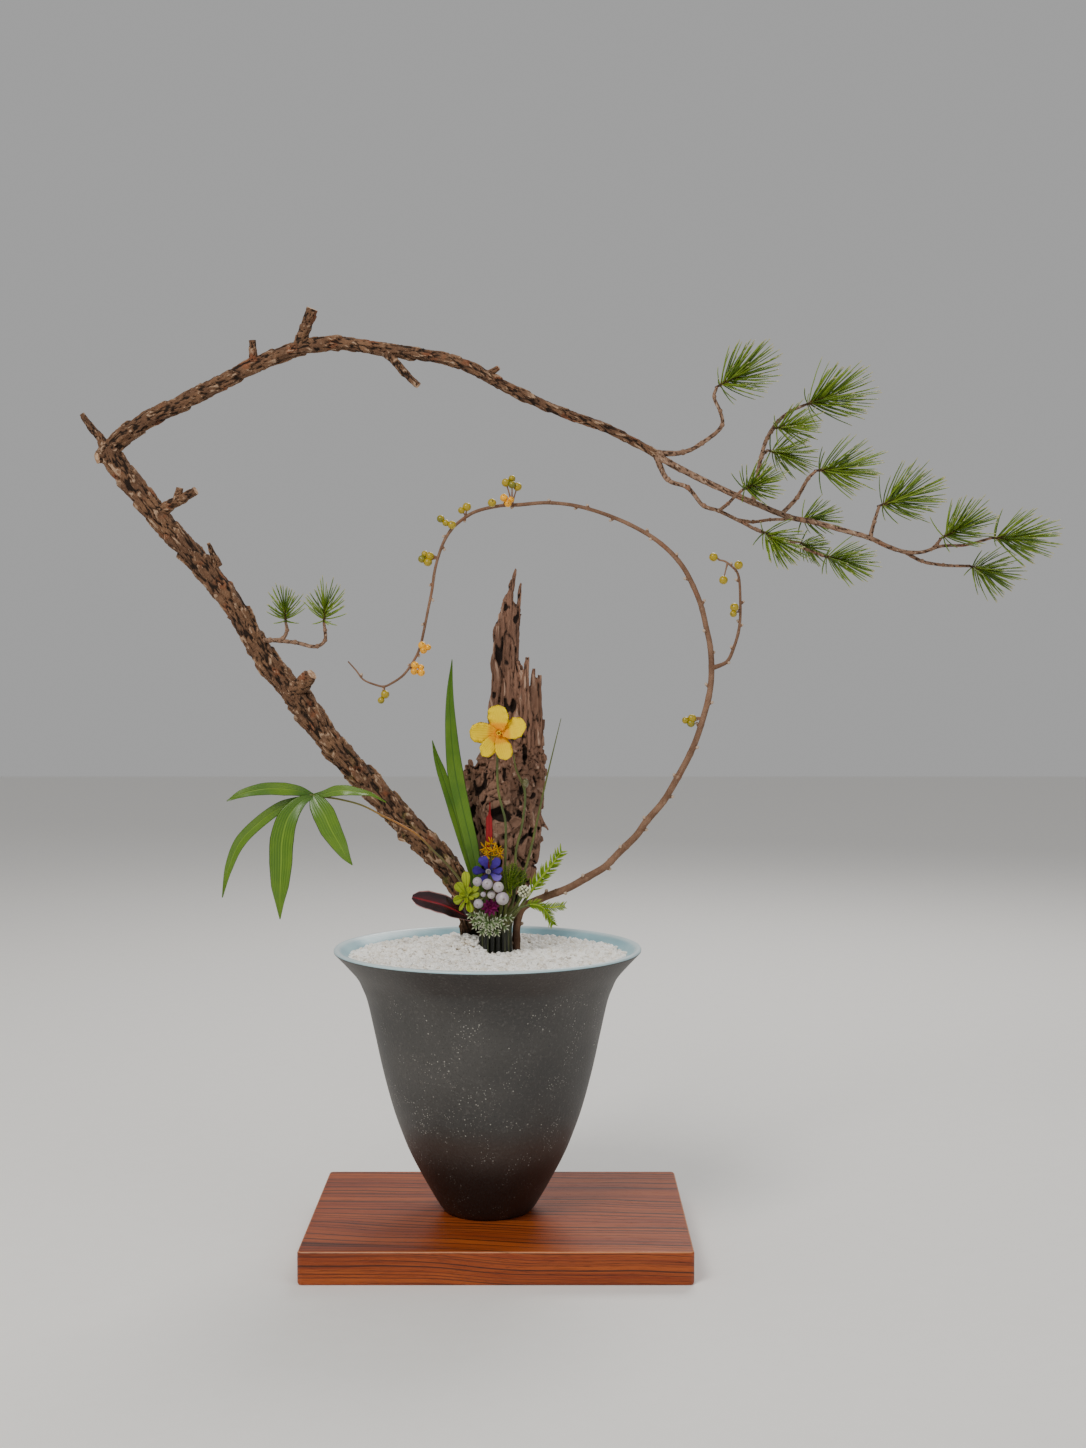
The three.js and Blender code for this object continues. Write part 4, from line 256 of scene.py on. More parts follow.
# Stations of the blades, with half widths
BLADES = {"sword_leaf_tall": [[-13.9, 266.3, -3, 2.4], [-17.2, 295, -5, 4], [-23, 324.5, -6, 5.6],
    [-29.1, 349.9, -6, 6.1], [-36.1, 384.3, -6, 6.6], [-39.8, 424.5, -6, 4.5], [-40.2, 450.8, -6, 2.6],
    [-38.5, 476.2, -6, 0.3]], "sword_leaf_short": [[-18, 274.5, 3, 2], [-22.1, 299.1, 1, 3],
    [-29.5, 324.5, 0, 3.4], [-36.5, 349.9, 0, 4.5], [-47.6, 384.3, 0, 3.7], [-51.7, 396.6, 0, 2.2],
    [-54.9, 409.8, 0, 0.3]], "red_blade": [[-8.2, 295, -8, 1.6], [-8.2, 312, -8, 2.6], [-8.2, 330, -8, 2.8],
    [-8.2, 346, -8, 2.6], [-7.9, 349, -8, 1.0], [-7.6, 358.9, -8, 0.35]],
    "dark_red_leaf": [[-22.1, 262.2, -12, 1.6], [-30.5, 266.3, -14, 5.6], [-39.5, 271, -15.5, 8.6],
    [-50, 275, -17, 9.4], [-60, 277.5, -18, 9], [-67.5, 279.4, -18.5, 6.8], [-71.8, 280.4, -18.5, 2.4]]}
# Flowers: for each petal its turn in degrees, and its shares of the full reach and width
YELLOW_PETALS = [[91, 1, 1], [15, 1, 1], [-75, 1, 0.78], [-127, 1, 0.72], [177, 1.04, 0.95]]
BLUE_PETALS = [[113, 1, 1], [47, 1, 0.95], [174, 0.95, 0.85], [4, 0.85, 0.75], [-117, 0.8, 0.8]]
LILAC_PETAL = [[-36, 0.9, 0.9]]
LIME_LEAVES = [[93, 1.45, 0.85], [130, 1, 1], [200, 0.9, 0.9], [240, 1, 0.4], [278, 1, 0.8],
    [40, 0.85, 0.6], [5, 0.7, 0.7]]
LIME_HEART = [[70, 1, 1], [165, 1, 1], [250, 0.9, 0.9], [320, 0.8, 0.8]]
PETAL_TWIST, PETAL_THICK, PETAL_STEPS = 0.3, 0.45, 14
# Outlines of petals: shares of the reach, and of the half width there
ROUND_PETAL = ((0.1, 0.42), (0.32, 0.8), (0.6, 1), (0.84, 0.88), (0.96, 0.55), (1.01, 0.14))
POINTED_PETAL = ((0.14, 0.35), (0.4, 0.9), (0.65, 0.85), (1, 0.12))
SPOON_PETAL = ((0.08, 0.26), (0.36, 0.4), (0.58, 0.85), (0.76, 1), (0.92, 0.8), (1, 0.28))


# Places, lines and forms

def unit(v):
    v = np.asarray(v, float)
    return v / np.linalg.norm(v, axis=-1, keepdims=True)


def at(x, z, depth=0.0):
    """The place drawn at x, z in the plane of the stems, slid along the line of sight"""
    drawn = np.array([x, PLANE_Y, z], float)
    return EYE + (drawn - EYE) * (1 + depth / (PLANE_Y - EYE[1]))


def route(stations):
    """Stations of x, z, depth and size as rows of place and size"""
    return np.array([[*at(x, z, depth), size] for x, z, depth, size in stations])


def bridge(b, c, leave, arrive, share):
    """Places on the smooth curve from b to c that leaves and arrives with the given slopes"""
    cubic, square = 2 * b - 2 * c + leave + arrive, 3 * c - 3 * b - 2 * leave - arrive
    return cubic * share ** 3 + square * share ** 2 + leave * share + b


def run_of(line):
    """How far along a line each of its rows is"""
    return np.r_[0, np.cumsum(np.linalg.norm(np.diff(line[:, :3], axis=0), axis=1))]


def follow(stops, step):
    """Rows of place and size at even steps along the smooth curve through the stops"""
    stops = np.asarray(stops, float)
    p = stops[:, :3]
    p = np.vstack([2 * p[0] - p[1], p, 2 * p[-1] - p[-2]])
    share = np.linspace(0, 1, 17)[:-1, None]
    dense = []
    for i in range(1, len(p) - 2):
        a, b, c, d = p[i - 1:i + 3]
        ta, tb, tc = (max(np.linalg.norm(s) ** 0.5, 1e-4) for s in (b - a, c - b, d - c))
        leave = ((b - a) / ta - (c - a) / (ta + tb) + (c - b) / tb) * tb
        arrive = ((c - b) / tb - (d - b) / (tb + tc) + (d - c) / tc) * tb
        size = stops[i - 1, 3] + (stops[i, 3] - stops[i - 1, 3]) * share
        dense.append(np.hstack([bridge(b, c, leave, arrive, share), size]))
    dense = np.vstack(dense + [stops[-1:]])
    run = run_of(dense)
    even = np.linspace(0, run[-1], max(2, round(run[-1] / step)) + 1)
    return np.stack([np.interp(even, run, column) for column in dense.T], 1)


def headings(line):
    """Which way a line runs at each of its rows"""
    return unit(np.gradient(line[:, :3], axis=0))


def across_of(line):
    """Two directions across a line, which turn as little as they can along it"""
    ways = headings(line)
    across = np.empty_like(ways)
    last = UP if abs(ways[0] @ UP) < 0.9 else np.array([1.0, 0, 0])
    for i, way in enumerate(ways):
        last = across[i] = unit(last - way * (last @ way))
    return across, np.cross(ways, across)


def circle(sides):
    """Even turns all the way round"""
    return np.arange(sides) * FULL_TURN / sides


def all_round(first, second, turn):
    """Directions at each turn between every pair of two directions across"""
    return first[:, None] * np.cos(turn)[:, None] + second[:, None] * np.sin(turn)[:, None]


def seeded(seed):
    """Draws that are the same on each run, and the same as the part's own"""
    state = [seed]

    def draw(low, high):
        state[0] = (state[0] * 1664525 + 1013904223) % 4294967296
        return low + (high - low) * state[0] / 4294967296
    return draw


def set_marks(mesh, marks):
    """Writes the three marks of each corner, which the finishes read"""
    mark = mesh.attributes.get("mark") or mesh.attributes.new("mark", "FLOAT_VECTOR", "POINT")
    mark.data.foreach_set("vector", marks.astype(np.float32).ravel())


def show(mesh, node, finishes, smooth=True):
    """Puts a mesh in the arrangement in place of its plain solid"""
    if smooth:
        mesh.shade_smooth()
    for finish in finishes:
        mesh.materials.append(finish)
    made = bpy.data.objects.new("fine_" + node, mesh)
    bpy.context.scene.collection.objects.link(made)
    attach(made, "root")
    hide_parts(node)


class Form:
    """A mesh in the making: corners in millimetres, faces, and three marks at each corner"""

    def __init__(self):
        self.corners, self.marks, self.faces, self.parts, self.count = [], [], [], [], 0

    def add(self, corners, marks, faces, part=0):
        self.faces += (faces + self.count).tolist()
        self.parts += [part] * len(faces)
        self.corners.append(corners)
        self.marks.append(marks)
        self.count += len(corners)

    def mesh(self, name):
        mesh = bpy.data.meshes.new(name)
        mesh.from_pydata((np.vstack(self.corners) * MM).tolist(), [], self.faces)
        set_marks(mesh, np.vstack(self.marks))
        mesh.polygons.foreach_set("material_index", self.parts)
        return mesh

    def show(self, node, *finishes, smooth=True):
        show(self.mesh(node), node, finishes, smooth)


def loft(form, rings, along, around, tone=0.0, part=0, end_part=None):
    """Closed rings joined in turn, with a fan over each end; the marks are along, around and tone"""
    n, m = rings.shape[:2]
    index = np.arange(n * m).reshape(n, m)
    right = np.roll(index, -1, axis=1)
    quads = np.stack([index[:-1], right[:-1], right[1:], index[1:]], -1).reshape(-1, 4)
    marks = np.stack(np.broadcast_arrays(np.asarray(along, float).reshape(-1, 1), around, tone), -1)
    marks = np.broadcast_to(marks, (n, m, 3))
    form.add(rings.reshape(-1, 3), marks.reshape(-1, 3), quads, part)
    last_part = part if end_part is None else end_part
    for ring, first, second, fan_part in ((0, right, index, part), (-1, index, right, last_part)):
        fan = np.stack([np.full(m, m), first[0], second[0]], -1)
        ends, end_marks = (np.vstack([rows[ring], rows[ring].mean(0)]) for rows in (rings, marks))
        form.add(ends, end_marks, fan, fan_part)


def tube(form, line, sides, relief=None, tone=0.0, part=0, end_part=None, thinning=1.0):
    """A round limb along rows of place and radius; relief gives what is added to the radius"""
    turn, run = circle(sides), run_of(line)
    radius = np.repeat(line[:, 3:4], sides, 1)
    if relief is not None:
        lift, tone = relief(run, turn, radius)
        radius = radius + lift
    ways = all_round(*across_of(line), turn)
    loft(form, line[:, None, :3] + ways * radius[..., None] * np.array([1, thinning, 1]), run,
         turn / FULL_TURN, tone, part, end_part)


def leaf(form, stops, facing=FRONT, step=2.5, across=8, fold=0.25, thick=0.55, ripple=0, tone=0, part=0):
    """A blade along rows of place and half width, folded along its midrib and thin at its edges"""
    line = follow(stops, step)
    ways = headings(line)
    sideways = unit(np.cross(ways, facing))
    outward = np.cross(sideways, ways)
    u = np.linspace(-1, 1, across + 1)
    share = np.linspace(0, 1, len(line))[:, None]
    half = line[:, 3:4]
    wave = ripple * np.sin(share * 23 + 2.6 * np.sign(u) + tone * 9) * np.abs(u) ** 2
    lift = fold * half * (np.sqrt(u * u + 0.02) - 0.14) + wave
    body = thick / 2 * np.sqrt(1.06 - u * u) * np.minimum(1, half / thick)
    middle = line[:, None, :3] + sideways[:, None] * (half * u)[..., None]
    upper, lower = (middle + outward[:, None] * (lift + side * body)[..., None] for side in (1, -1))
    rings = np.concatenate([upper, lower[:, -2:0:-1]], 1)
    loft(form, rings, share, np.r_[u, u[-2:0:-1]], tone, part)


def spun(form, centre, axis, profile, tone=0.0, part=0, sides=14):
    """A form turned round an axis from rows of radius and height; along runs with the rows"""
    axis, turn = unit(axis), circle(sides)
    first = unit(np.cross(axis, [0.31, 0.95, 0.05]))
    out = all_round(first[None], np.cross(axis, first)[None], turn)
    radius, height = (column[:, None, None] for column in np.asarray(profile, float).T)
    rings = centre + out * radius + axis * height
    loft(form, rings, np.linspace(0, 1, len(radius)), turn / FULL_TURN, tone, part)


def bead(form, centre, radius, axis=UP, stretch=1.0, tone=0.0, part=0, sides=14, tall=10, dimple=0.0):
    """A round bead drawn out along its axis; the along mark runs from its root to its tip"""
    lat = np.linspace(0.06, math.pi - 0.06, tall)
    high = -np.cos(lat) * stretch - dimple * np.exp(-((math.pi - lat) / 0.35) ** 2)
    spun(form, centre, axis, np.stack([np.sin(lat), high], 1) * radius, tone, part, sides)


def spikes(form, roots, aims, lengths, radius, droop=0.0, tones=0.0, part=0, sides=3, blunt=0.12):
    """Many fine needles at once, each bent a little towards droop as it runs out"""
    roots, aims, droop, turn = np.asarray(roots, float), unit(aims), np.asarray(droop), circle(sides)
    first = unit(np.cross(aims, [0.37, 0.21, 0.9]))
    ways = all_round(first, np.cross(aims, first), turn)
    shares, widths = np.array([[0], [0.35], [0.7], [1]]), radius * np.array([0.9, 1, 0.85, blunt])
    lengths, tones = (np.broadcast_to(values, len(roots)) for values in (lengths, tones))
    for root, aim, length, way, tone in zip(roots, aims, lengths, ways, tones):
        spine = root + aim * length * shares + droop * length * shares ** 2
        loft(form, spine[:, None] + way * widths[:, None, None], shares, turn / FULL_TURN, tone, part)


# Finishes

class Value:
    """A socket of a finish; sums and products of values become Math nodes"""

    def __init__(self, finish, socket):
        self.finish, self.socket = finish, socket

    def __add__(self, term):
        return self.finish.math("ADD", self, term)

    def __sub__(self, term):
        return self.finish.math("SUBTRACT", self, term)

    def __rsub__(self, term):
        return self.finish.math("SUBTRACT", term, self)

    def __mul__(self, term):
        return self.finish.math("MULTIPLY", self, term)

    __radd__, __rmul__ = __add__, __mul__


def shade(code):
    """Six hex digits as one of Blender's linear colours"""
    parts = [int(code[i:i + 2], 16) / 255 for i in (0, 2, 4)]
    return tuple(c / 12.92 if c < 0.04045 else ((c + 0.055) / 1.055) ** 2.4 for c in parts) + (1.0,)


class Finish:
    """A procedural finish, built node by node, whose colour is laid on in coats"""

    def __init__(self, name):
        self.material = bpy.data.materials.new(name)
        self.material.use_nodes = True
        self.tree = self.material.node_tree
        self.shader = self.tree.nodes["Principled BSDF"]
        self.colour = None
        self.place = self.node("TexCoord", output="Object")
        self.x, self.y, self.z = self.split(self.place)
        marks = self.node("Attribute", {"attribute_name": "mark"}, output="Vector")
        self.along, self.around, self.tone = self.split(marks)

    def put(self, socket, value):
        if isinstance(value, Value):
            self.tree.links.new(value.socket, socket)
        else:
            socket.default_value = value

    def node(self, kind, settings=(), inputs=(), output=0):
        made = self.tree.nodes.new("ShaderNode" + kind)
        for key, value in dict(settings).items():
            setattr(made, key, value)
        for key, value in dict(inputs).items():
            self.put(made.inputs[key], value)
        return Value(self, made.outputs[output])

    def math(self, operation, *terms):
        return self.node("Math", {"operation": operation}, enumerate(terms))

    def split(self, vector):
        outputs = self.node("SeparateXYZ", (), {0: vector}).socket.node.outputs
        return [Value(self, output) for output in outputs]

    def noise(self, scale, detail=3.0, warp=0.0, where=None):
        inputs = {"Vector": where or self.place, "Scale": scale, "Detail": detail, "Distortion": warp}
        return self.node("TexNoise", (), inputs)

    def grain(self, x, y, z, detail=3.0, warp=0.0):
        """Noise with its own scale along each axis"""
        where = self.node("VectorMath", {"operation": "MULTIPLY"}, {0: self.place, 1: (x, y, z)})
        return self.noise(1, detail, warp, where)

    def cells(self, scale, feature="F1"):
        return self.node("TexVoronoi", {"feature": feature}, {"Vector": self.place, "Scale": scale})

    def span(self, value, low, high):
        """0 at low, 1 at high and smooth between; low may be the larger of the two"""
        inputs = {"Value": value, "From Min": low, "From Max": high}
        return self.node("MapRange", {"interpolation_type": "SMOOTHSTEP"}, inputs)

    def mix(self, share, a, b):
        a, b = (shade(c) if isinstance(c, str) else c for c in (a, b))
        return self.node("Mix", {"data_type": "RGBA"}, {0: share, 6: a, 7: b}, output=2)

    def base(self, value, low, high, first, second):
        """The first coat: one colour that gives way to a second as the value goes from low to high"""
        self.colour = self.mix(self.span(value, low, high), first, second)

    def coat(self, share, colour):
        self.colour = self.mix(share, self.colour, colour)

    def lay(self, value, low, high, share, colour):
        """A coat that grows from nothing to its share as the value goes from low to high"""
        self.coat(self.span(value, low, high) * share, colour)

    def done(self, roughness, height, distance, **uniform):
        bump = self.node("Bump", (), {"Height": height, "Distance": distance})
        for key, value in {"Base Color": self.colour, "Roughness": roughness, "Normal": bump}.items():
            self.put(self.shader.inputs[key], value)
        for key, value in uniform.items():
            self.shader.inputs[key.replace("_", " ")].default_value = value
        return self.material


def board_finish():
    """Red-brown wood with fine dark growth lines that run the board's length, oiled to a satin"""
    f = Finish("oiled_wood")
    layer = f.y * 0.42 + f.z * 0.9 + f.x * 0.028 + f.grain(4, 7, 7, 2) * 0.02

    def along_grain(length, width, depth, detail):
        where = f.node("CombineXYZ", (), {0: f.x * length, 1: layer * width, 2: f.z * depth})
        return f.noise(1, detail, where=where)

    lines, fibre = along_grain(1.4, 560, 0, 1), along_grain(20, 2600, 300, 3)
    pores = f.span(along_grain(60, 4200, 900, 1), 0.64, 0.76)
    f.base(along_grain(2, 90, 0, 2), 0.32, 0.68, "7e2f0b", "9e4814")
    f.lay(fibre, 0.4, 0.75, 0.4, "ba6422")
    f.lay(lines, 0.5, 0.64, 0.85, "341406")
    f.coat(pores * 0.5, "260e05")
    # Painted highlight along the eased top edge
    f.lay(f.along, 0.4, 0.9, 0.6, "d9986a")
    return f.done(0.42 + fibre * 0.16, lines * -0.5 + fibre * 0.35 - pores, 0.00025,
                  Coat_Weight=0.12, Coat_Roughness=0.25, Specular_IOR_Level=0.35)


def vase_finish():
    """Dark finely speckled stoneware, turning brown and then near black towards its foot, the brown a
    painted reflection of the board, with a pale blue glaze inside
    """
    f = Finish("speckled_stoneware")
    grain, cloud, drift, pool = f.noise(420, 5), f.noise(12, 4), f.noise(46), f.noise(30)
    fine, coarse = f.span(f.cells(430), 0.24, 0.1), f.span(f.cells(170), 0.13, 0.06)
    specks = f.math("MAXIMUM", fine * f.span(drift, 0.48, 0.62), coarse * f.span(drift, 0.42, 0.52))
    specks = specks * f.span(f.z, 0.222, 0.206)
    height = f.z + (cloud - 0.5) * 0.03
    foot = f.span(height, 0.094, 0.058)
    f.base(cloud, 0.3, 0.75, "302f2d", "454340")
    f.lay(grain, 0.5, 0.8, 0.5, "66635f")
    f.lay(f.grain(900, 900, 900, 1), 0.58, 0.7, 0.5, "1b1a19")
    # Painted reflection of the board: a brown band low on the wall
    f.lay(height, 0.112, 0.086, 0.5, "3c281c")
    f.coat(foot * 0.9, "120e0c")
    f.coat(specks * (0.72 - foot * 0.5), "b4b2a8")
    glaze = f.mix(f.span(pool, 0.3, 0.7), "86b0bc", "a4c8d0")
    glaze = f.mix(f.span(f.z, 0.2395, 0.2418) * 0.6, glaze, "dfe8e8")
    inner = f.span(f.along, 0.35, 0.65)
    outer = 1 - inner
    f.coat(inner, glaze)
    rough = (0.5 + grain * 0.2 - foot * 0.08) * outer + inner * 0.3
    relief = (grain * 0.6 + specks * 0.5 + cloud) * outer + pool * inner * 0.4
    return f.done(rough, relief, 0.0006, Coat_Weight=0.1, Coat_Roughness=0.3)


def pebble_finish():
    """White stones; the tone mark is 0 on the shaded bed under them and 0.2 to 1 on the stones"""
    f = Finish("white_pebbles")
    grain = f.noise(1100, 4)
    f.base(f.tone, 0.2, 0.6, "ece5d8", "fffdf8")
    f.lay(f.tone, 0.95, 0.99, 0.6, "b3a491")
    f.lay(f.noise(260), 0.55, 0.8, 0.25, "e0d6c2")
    f.lay(f.tone, 0.12, 0.02, 1, "a3937c")
    return f.done(0.6 + grain * 0.3, grain, 0.0005, Specular_IOR_Level=0.3)


def bark_finish(name, plate, ridge, crack_and_shade, patch, pale, moss=0.0, depth=0.0006):
    """Flaking bark: the tone mark is low in the cracks, which are darkened partly as the bark's own dark
    and partly as painted shade, high on a plate and highest on a raised edge, where a highlight is painted;
    painted shade also darkens the foot
    """
    f = Finish(name)
    grain = f.grain(700, 700, 500, 5, 0.6)
    f.base(f.noise(75), 0.35, 0.7, plate, ridge)
    f.lay(f.noise(60, 2), 0.58, 0.7, 0.5, patch)
    f.lay(grain, 0.5, 0.8, 0.22, pale)
    # The cracks' dark, partly the bark's own and partly painted shade
    f.lay(f.tone, 0.48, 0.12, 0.95, crack_and_shade)
    # Painted highlight on the raised plate edges, where the tone mark is highest
    f.lay(f.tone, 0.85, 1.25, 0.65, pale)
    f.coat(f.span(f.noise(110), 0.56, 0.7) * f.span(f.z, 0.44, 0.3) * moss, "7f8040")
    # Painted shade: darker towards the foot, down by the gravel and the column
    f.lay(f.z, 0.268, 0.244, 0.55, crack_and_shade)
    height = grain * 0.6 + f.cells(330, "F2") * 0.7 + f.tone
    return f.done(0.8 + grain * 0.16, height, depth, Specular_IOR_Level=0.25)


def drift_finish():
    """Weathered wood with grain that runs up the piece: painted highlights on its crests, and painted
    shade, near black, in its crevices and pits and at its foot
    """
    f = Finish("weathered_driftwood")
    grain, fine = f.grain(520, 520, 30, 5, 0.4), f.grain(1700, 1700, 90)
    f.base(f.noise(30), 0.35, 0.7, "65493a", "805e4c")
    f.lay(f.z, 0.43, 0.33, 0.4, "a07d69")
    f.lay(grain, 0.54, 0.74, 0.45, "a8856e")
    f.lay(grain, 0.42, 0.3, 0.7, "35221a")
    # Painted shade: near black in the crevices and pits, where the tone mark is low
    f.lay(f.tone, 0.62, 0.2, 0.95, "120a07")
    # Painted highlight on the crests and raised edges, where the tone mark is highest
    f.lay(f.tone, 0.92, 1.25, 0.6, "c4a48e")
    # Painted shade: near black at the foot, down in the gravel
    f.lay(f.z, 0.27, 0.24, 0.6, "0e0806")
    height = grain + fine * 0.4 + f.tone * 0.5
    return f.done(0.8 + fine * 0.15, height, 0.001, Specular_IOR_Level=0.25)


def cut_finish():
    """A sawn end, with rings"""
    f = Finish("sawn_end")
    grain, rings = f.noise(300, 4), f.noise(160, 1, 1.5)
    f.base(rings, 0.4, 0.6, "c9a888", "9c7757")
    return f.done(0.75 + grain * 0.15, grain + rings, 0.0004)


def blade_finish(name, base, edge, vein, foot, veins, gloss=0.3, coat=0.15, rib=0.1, rim="", blotch=0.4):
    """A leaf: along runs from foot to tip and around from edge to edge"""
    f = Finish(name)
    wander, cloud = f.grain(90, 90, 40), f.noise(38)
    stripe = f.math("SINE", f.around * (veins * FULL_TURN / 2) + wander * 2.5) * 0.5 + 0.5
    side = f.math("ABSOLUTE", f.around)
    f.base(cloud, 0.3, 0.72, base, edge)
    f.lay(stripe, 0.6, 1.0, blotch, vein)
    f.lay(side, rib, rib * 0.3, 0.8, vein)
    f.lay(f.along, 0.4, 0.0, 0.75, foot)
    f.lay(side + (cloud - 0.5) * 0.2, 0.86, 0.98, 0.95 if rim else 0.5, rim or edge)
    f.coat(f.tone * 0.25, vein)
    height = stripe * 0.5 + wander * 0.3 - f.span(side, 0.12, 0.0)
    return f.done(gloss + wander * 0.18, height, 0.0003,
                  Coat_Weight=coat, Coat_Roughness=0.2, Specular_IOR_Level=0.3)


def stem_finish(name, base, streak):
    """A green stem, painted nearly black with shade where it stands in the column, less so on its lit
    streaks
    """
    f = Finish(name)
    fibre = f.grain(900, 900, 60)
    f.base(f.noise(60, 2), 0.35, 0.65, base, streak)
    f.lay(fibre, 0.5, 0.75, 0.35, "8f9650")
    lit = f.span(f.grain(420, 420, 5, 1), 0.56, 0.66)
    # Painted shade in the column, lighter where the lit streaks fall
    f.coat(f.span(f.z, 0.272, 0.249) * (0.97 - lit * 0.6), "0b0b08")
    return f.done(0.42 + fibre * 0.25, fibre, 0.0003)


def stalk_finish():
    """The leaf spray's stalk: orange where it crosses the trunk, olive towards its foot, and painted near
    black with shade where it stands in the column
    """
    f = Finish("leaf_stalk")
    fibre = f.noise(300)
    f.base(f.x, -0.12, -0.085, "74702c", "9a6420")
    f.lay(f.x, -0.075, -0.05, 1, "55501f")
    # Painted shade: near black where the stalk stands in the column
    f.lay(f.z, 0.275, 0.25, 0.97, "0f100b")
    return f.done(0.38 + fibre * 0.2, fibre, 0.0002)


def bloom_finish(name, base, outer, heart, dark="", rough=0.5, reach=0.42, full=0.08):
    """Petals and heads: along runs from heart to rim; the heart's colour fades from full to reach"""
    f = Finish(name)
    ribs = f.math("SINE", f.around * 26 + f.noise(120, 2) * 4) * 0.5 + 0.5
    cloud = f.noise(170)
    f.base(f.along, 0.3, 0.95, base, outer)
    f.lay(cloud, 0.4, 0.75, 0.35, outer)
    f.lay(f.along, reach, full, 0.85, heart)
    f.coat(ribs * 0.16, dark or heart)
    f.coat(f.tone * 0.35, dark or outer)
    return f.done(rough + cloud * 0.2, ribs * 0.5 + cloud, 0.0003, Specular_IOR_Level=0.15)


def skin_finish(name, base, other, dot, gloss=0.28, bloom="d8d8c8", mist=0.15):
    """Berries and fruits: a small dark dot at the tip, and a faint bloom"""
    f = Finish(name)
    cloud, fine = f.noise(210, 4), f.noise(1300, 2)
    f.base(cloud + f.tone * 0.4 - 0.2, 0.35, 0.7, base, other)
    f.lay(fine, 0.5, 0.75, mist, bloom)
    f.lay(f.along, 0.94, 0.975, 0.85, dot)
    return f.done(gloss + cloud * 0.18, cloud * 0.6 + fine * 0.4, 0.0003, Coat_Weight=0.15)


def needle_finish():
    f = Finish("pine_needle_green")
    fine = f.noise(1200, 2)
    f.base(f.noise(40, 2) + f.tone * 0.6 - 0.3, 0.3, 0.7, "435d10", "748c20")
    f.lay(f.along, 0.35, 1.0, 0.35, "849c3a")
    f.lay(f.along, 0.9, 0.99, 0.85, "c2b98c")
    f.lay(f.along, 0.13, 0.02, 0.85, "7d5a34")
    f.lay(fine, 0.55, 0.8, 0.25, "24430f")
    return f.done(0.45 + fine * 0.2, fine, 0.0002, Specular_IOR_Level=0.3)


STEM = stem_finish("stem_green", "60662a", "465222")
NEEDLE = needle_finish()
TWIG = bark_finish("shoot_bark", "785c49", "937560", "3a281d", "946246", "bca48e")


# The pieces

def board():
    """A slab with eased edges and rounded corners; the along mark is 1 on the eased top edge, where a
    highlight is painted
    """
    (half_x, half_y), high, round_off, ease, least, highlight_height, highlight_width, under = BOARD.values()
    quarter = np.linspace(0, math.pi / 2, 6)
    walls = [(inset, 0) for inset in under]
    walls += [(ease * (1 - math.sin(a)), ease * (1 - math.cos(a))) for a in quarter]
    walls += [(inset, high - z) for inset, z in walls[::-1]]
    inset, z = np.array(walls).T[..., None]
    turn = (quarter + np.arange(4)[:, None] * math.pi / 2).ravel()
    sign_x, sign_y = np.repeat([[1, -1, -1, 1], [1, 1, -1, -1]], len(quarter), axis=1)
    reach = np.maximum(round_off - inset, least)
    shrink = round_off + np.maximum(inset - round_off + least, 0)
    x = sign_x * (half_x - shrink) + reach * np.cos(turn)
    y = sign_y * (half_y - shrink) + reach * np.sin(turn)
    # Painted highlight: this mask, carried in the along mark, is 1 on the eased top edge
    worn = np.exp(-((z - high + highlight_height) / highlight_height) ** 2) * (inset < highlight_width)
    form = Form()
    loft(form, np.stack([x, y, z + 0 * turn], -1), worn, 0.0)
    form.show("board", board_finish())


def profile_curve(points, steps):
    """Places on the smooth curve through a profile's points"""
    p = np.vstack([points[0], points, points[-1]])
    u = np.linspace(0, len(points) - 1, steps + 1)
    i = np.minimum(u.astype(int), len(points) - 2)
    a, b, c, d = (p[i + k] for k in range(4))
    return bridge(b, c, (c - a) / 2, (d - b) / 2, (u - i)[:, None])


def turned(form, profile, sides, along, lift=None):
    """A body turned round the vase's axis from rows of radius and height"""
    turn = -circle(sides)
    r, z = profile[:, 0:1], profile[:, 1:2]
    rings = np.stack([VASE_AXIS_X + r * np.cos(turn), r * np.sin(turn), z + 0 * turn], -1)
    if lift:
        rings[..., 2] += lift(rings[..., 0], rings[..., 1]) * (z > BED["floor"] + 20)
    loft(form, rings[::-1], along[::-1], turn / FULL_TURN)


def vase():
    """A flared wall with a thick foot; the along mark is 0 outside and 1 from the lip inwards"""
    outside = np.vstack([VASE_FOOT, profile_curve(OUTER_PROFILE, 90)])
    inside = np.vstack([LIP, profile_curve(INNER_PROFILE, 60), VASE_FLOOR])
    form = Form()
    turned(form, np.vstack([outside, inside]), 144, np.repeat([0.0, 1.0], [len(outside), len(inside)]))
    form.show("vase", vase_finish())


def stone():
    """One rough stone's corners and faces"""
    g = (1 + 5 ** 0.5) / 2
    corners = unit([[-1, g, 0], [1, g, 0], [-1, -g, 0], [1, -g, 0], [0, -1, g], [0, 1, g],
                    [0, -1, -g], [0, 1, -g], [g, 0, -1], [g, 0, 1], [-g, 0, -1], [-g, 0, 1]])
    faces = np.array([[0, 11, 5], [0, 5, 1], [0, 1, 7], [0, 7, 10], [0, 10, 11], [1, 5, 9], [5, 11, 4],
                      [11, 10, 2], [10, 7, 6], [7, 1, 8], [3, 9, 4], [3, 4, 2], [3, 2, 6], [3, 6, 8],
                      [3, 8, 9], [4, 9, 5], [2, 4, 11], [6, 2, 10], [8, 6, 7], [9, 8, 1]])
    return corners, faces


def gravel_top(x, y):
    """Height of the raked gravel above its edge"""
    reach = np.hypot(x - VASE_AXIS_X, y) / BED["radius"]
    rise = (BED["crown"] - BED["edge"]) * (1 - reach)
    for swell_x, swell_y, spread, height in GRAVEL_SWELLS:
        rise = rise + height * np.exp(-((x - swell_x) ** 2 + (y - swell_y) ** 2) / (2 * spread ** 2))
    return rise * np.clip((1 - reach) * 12, 0, 1)


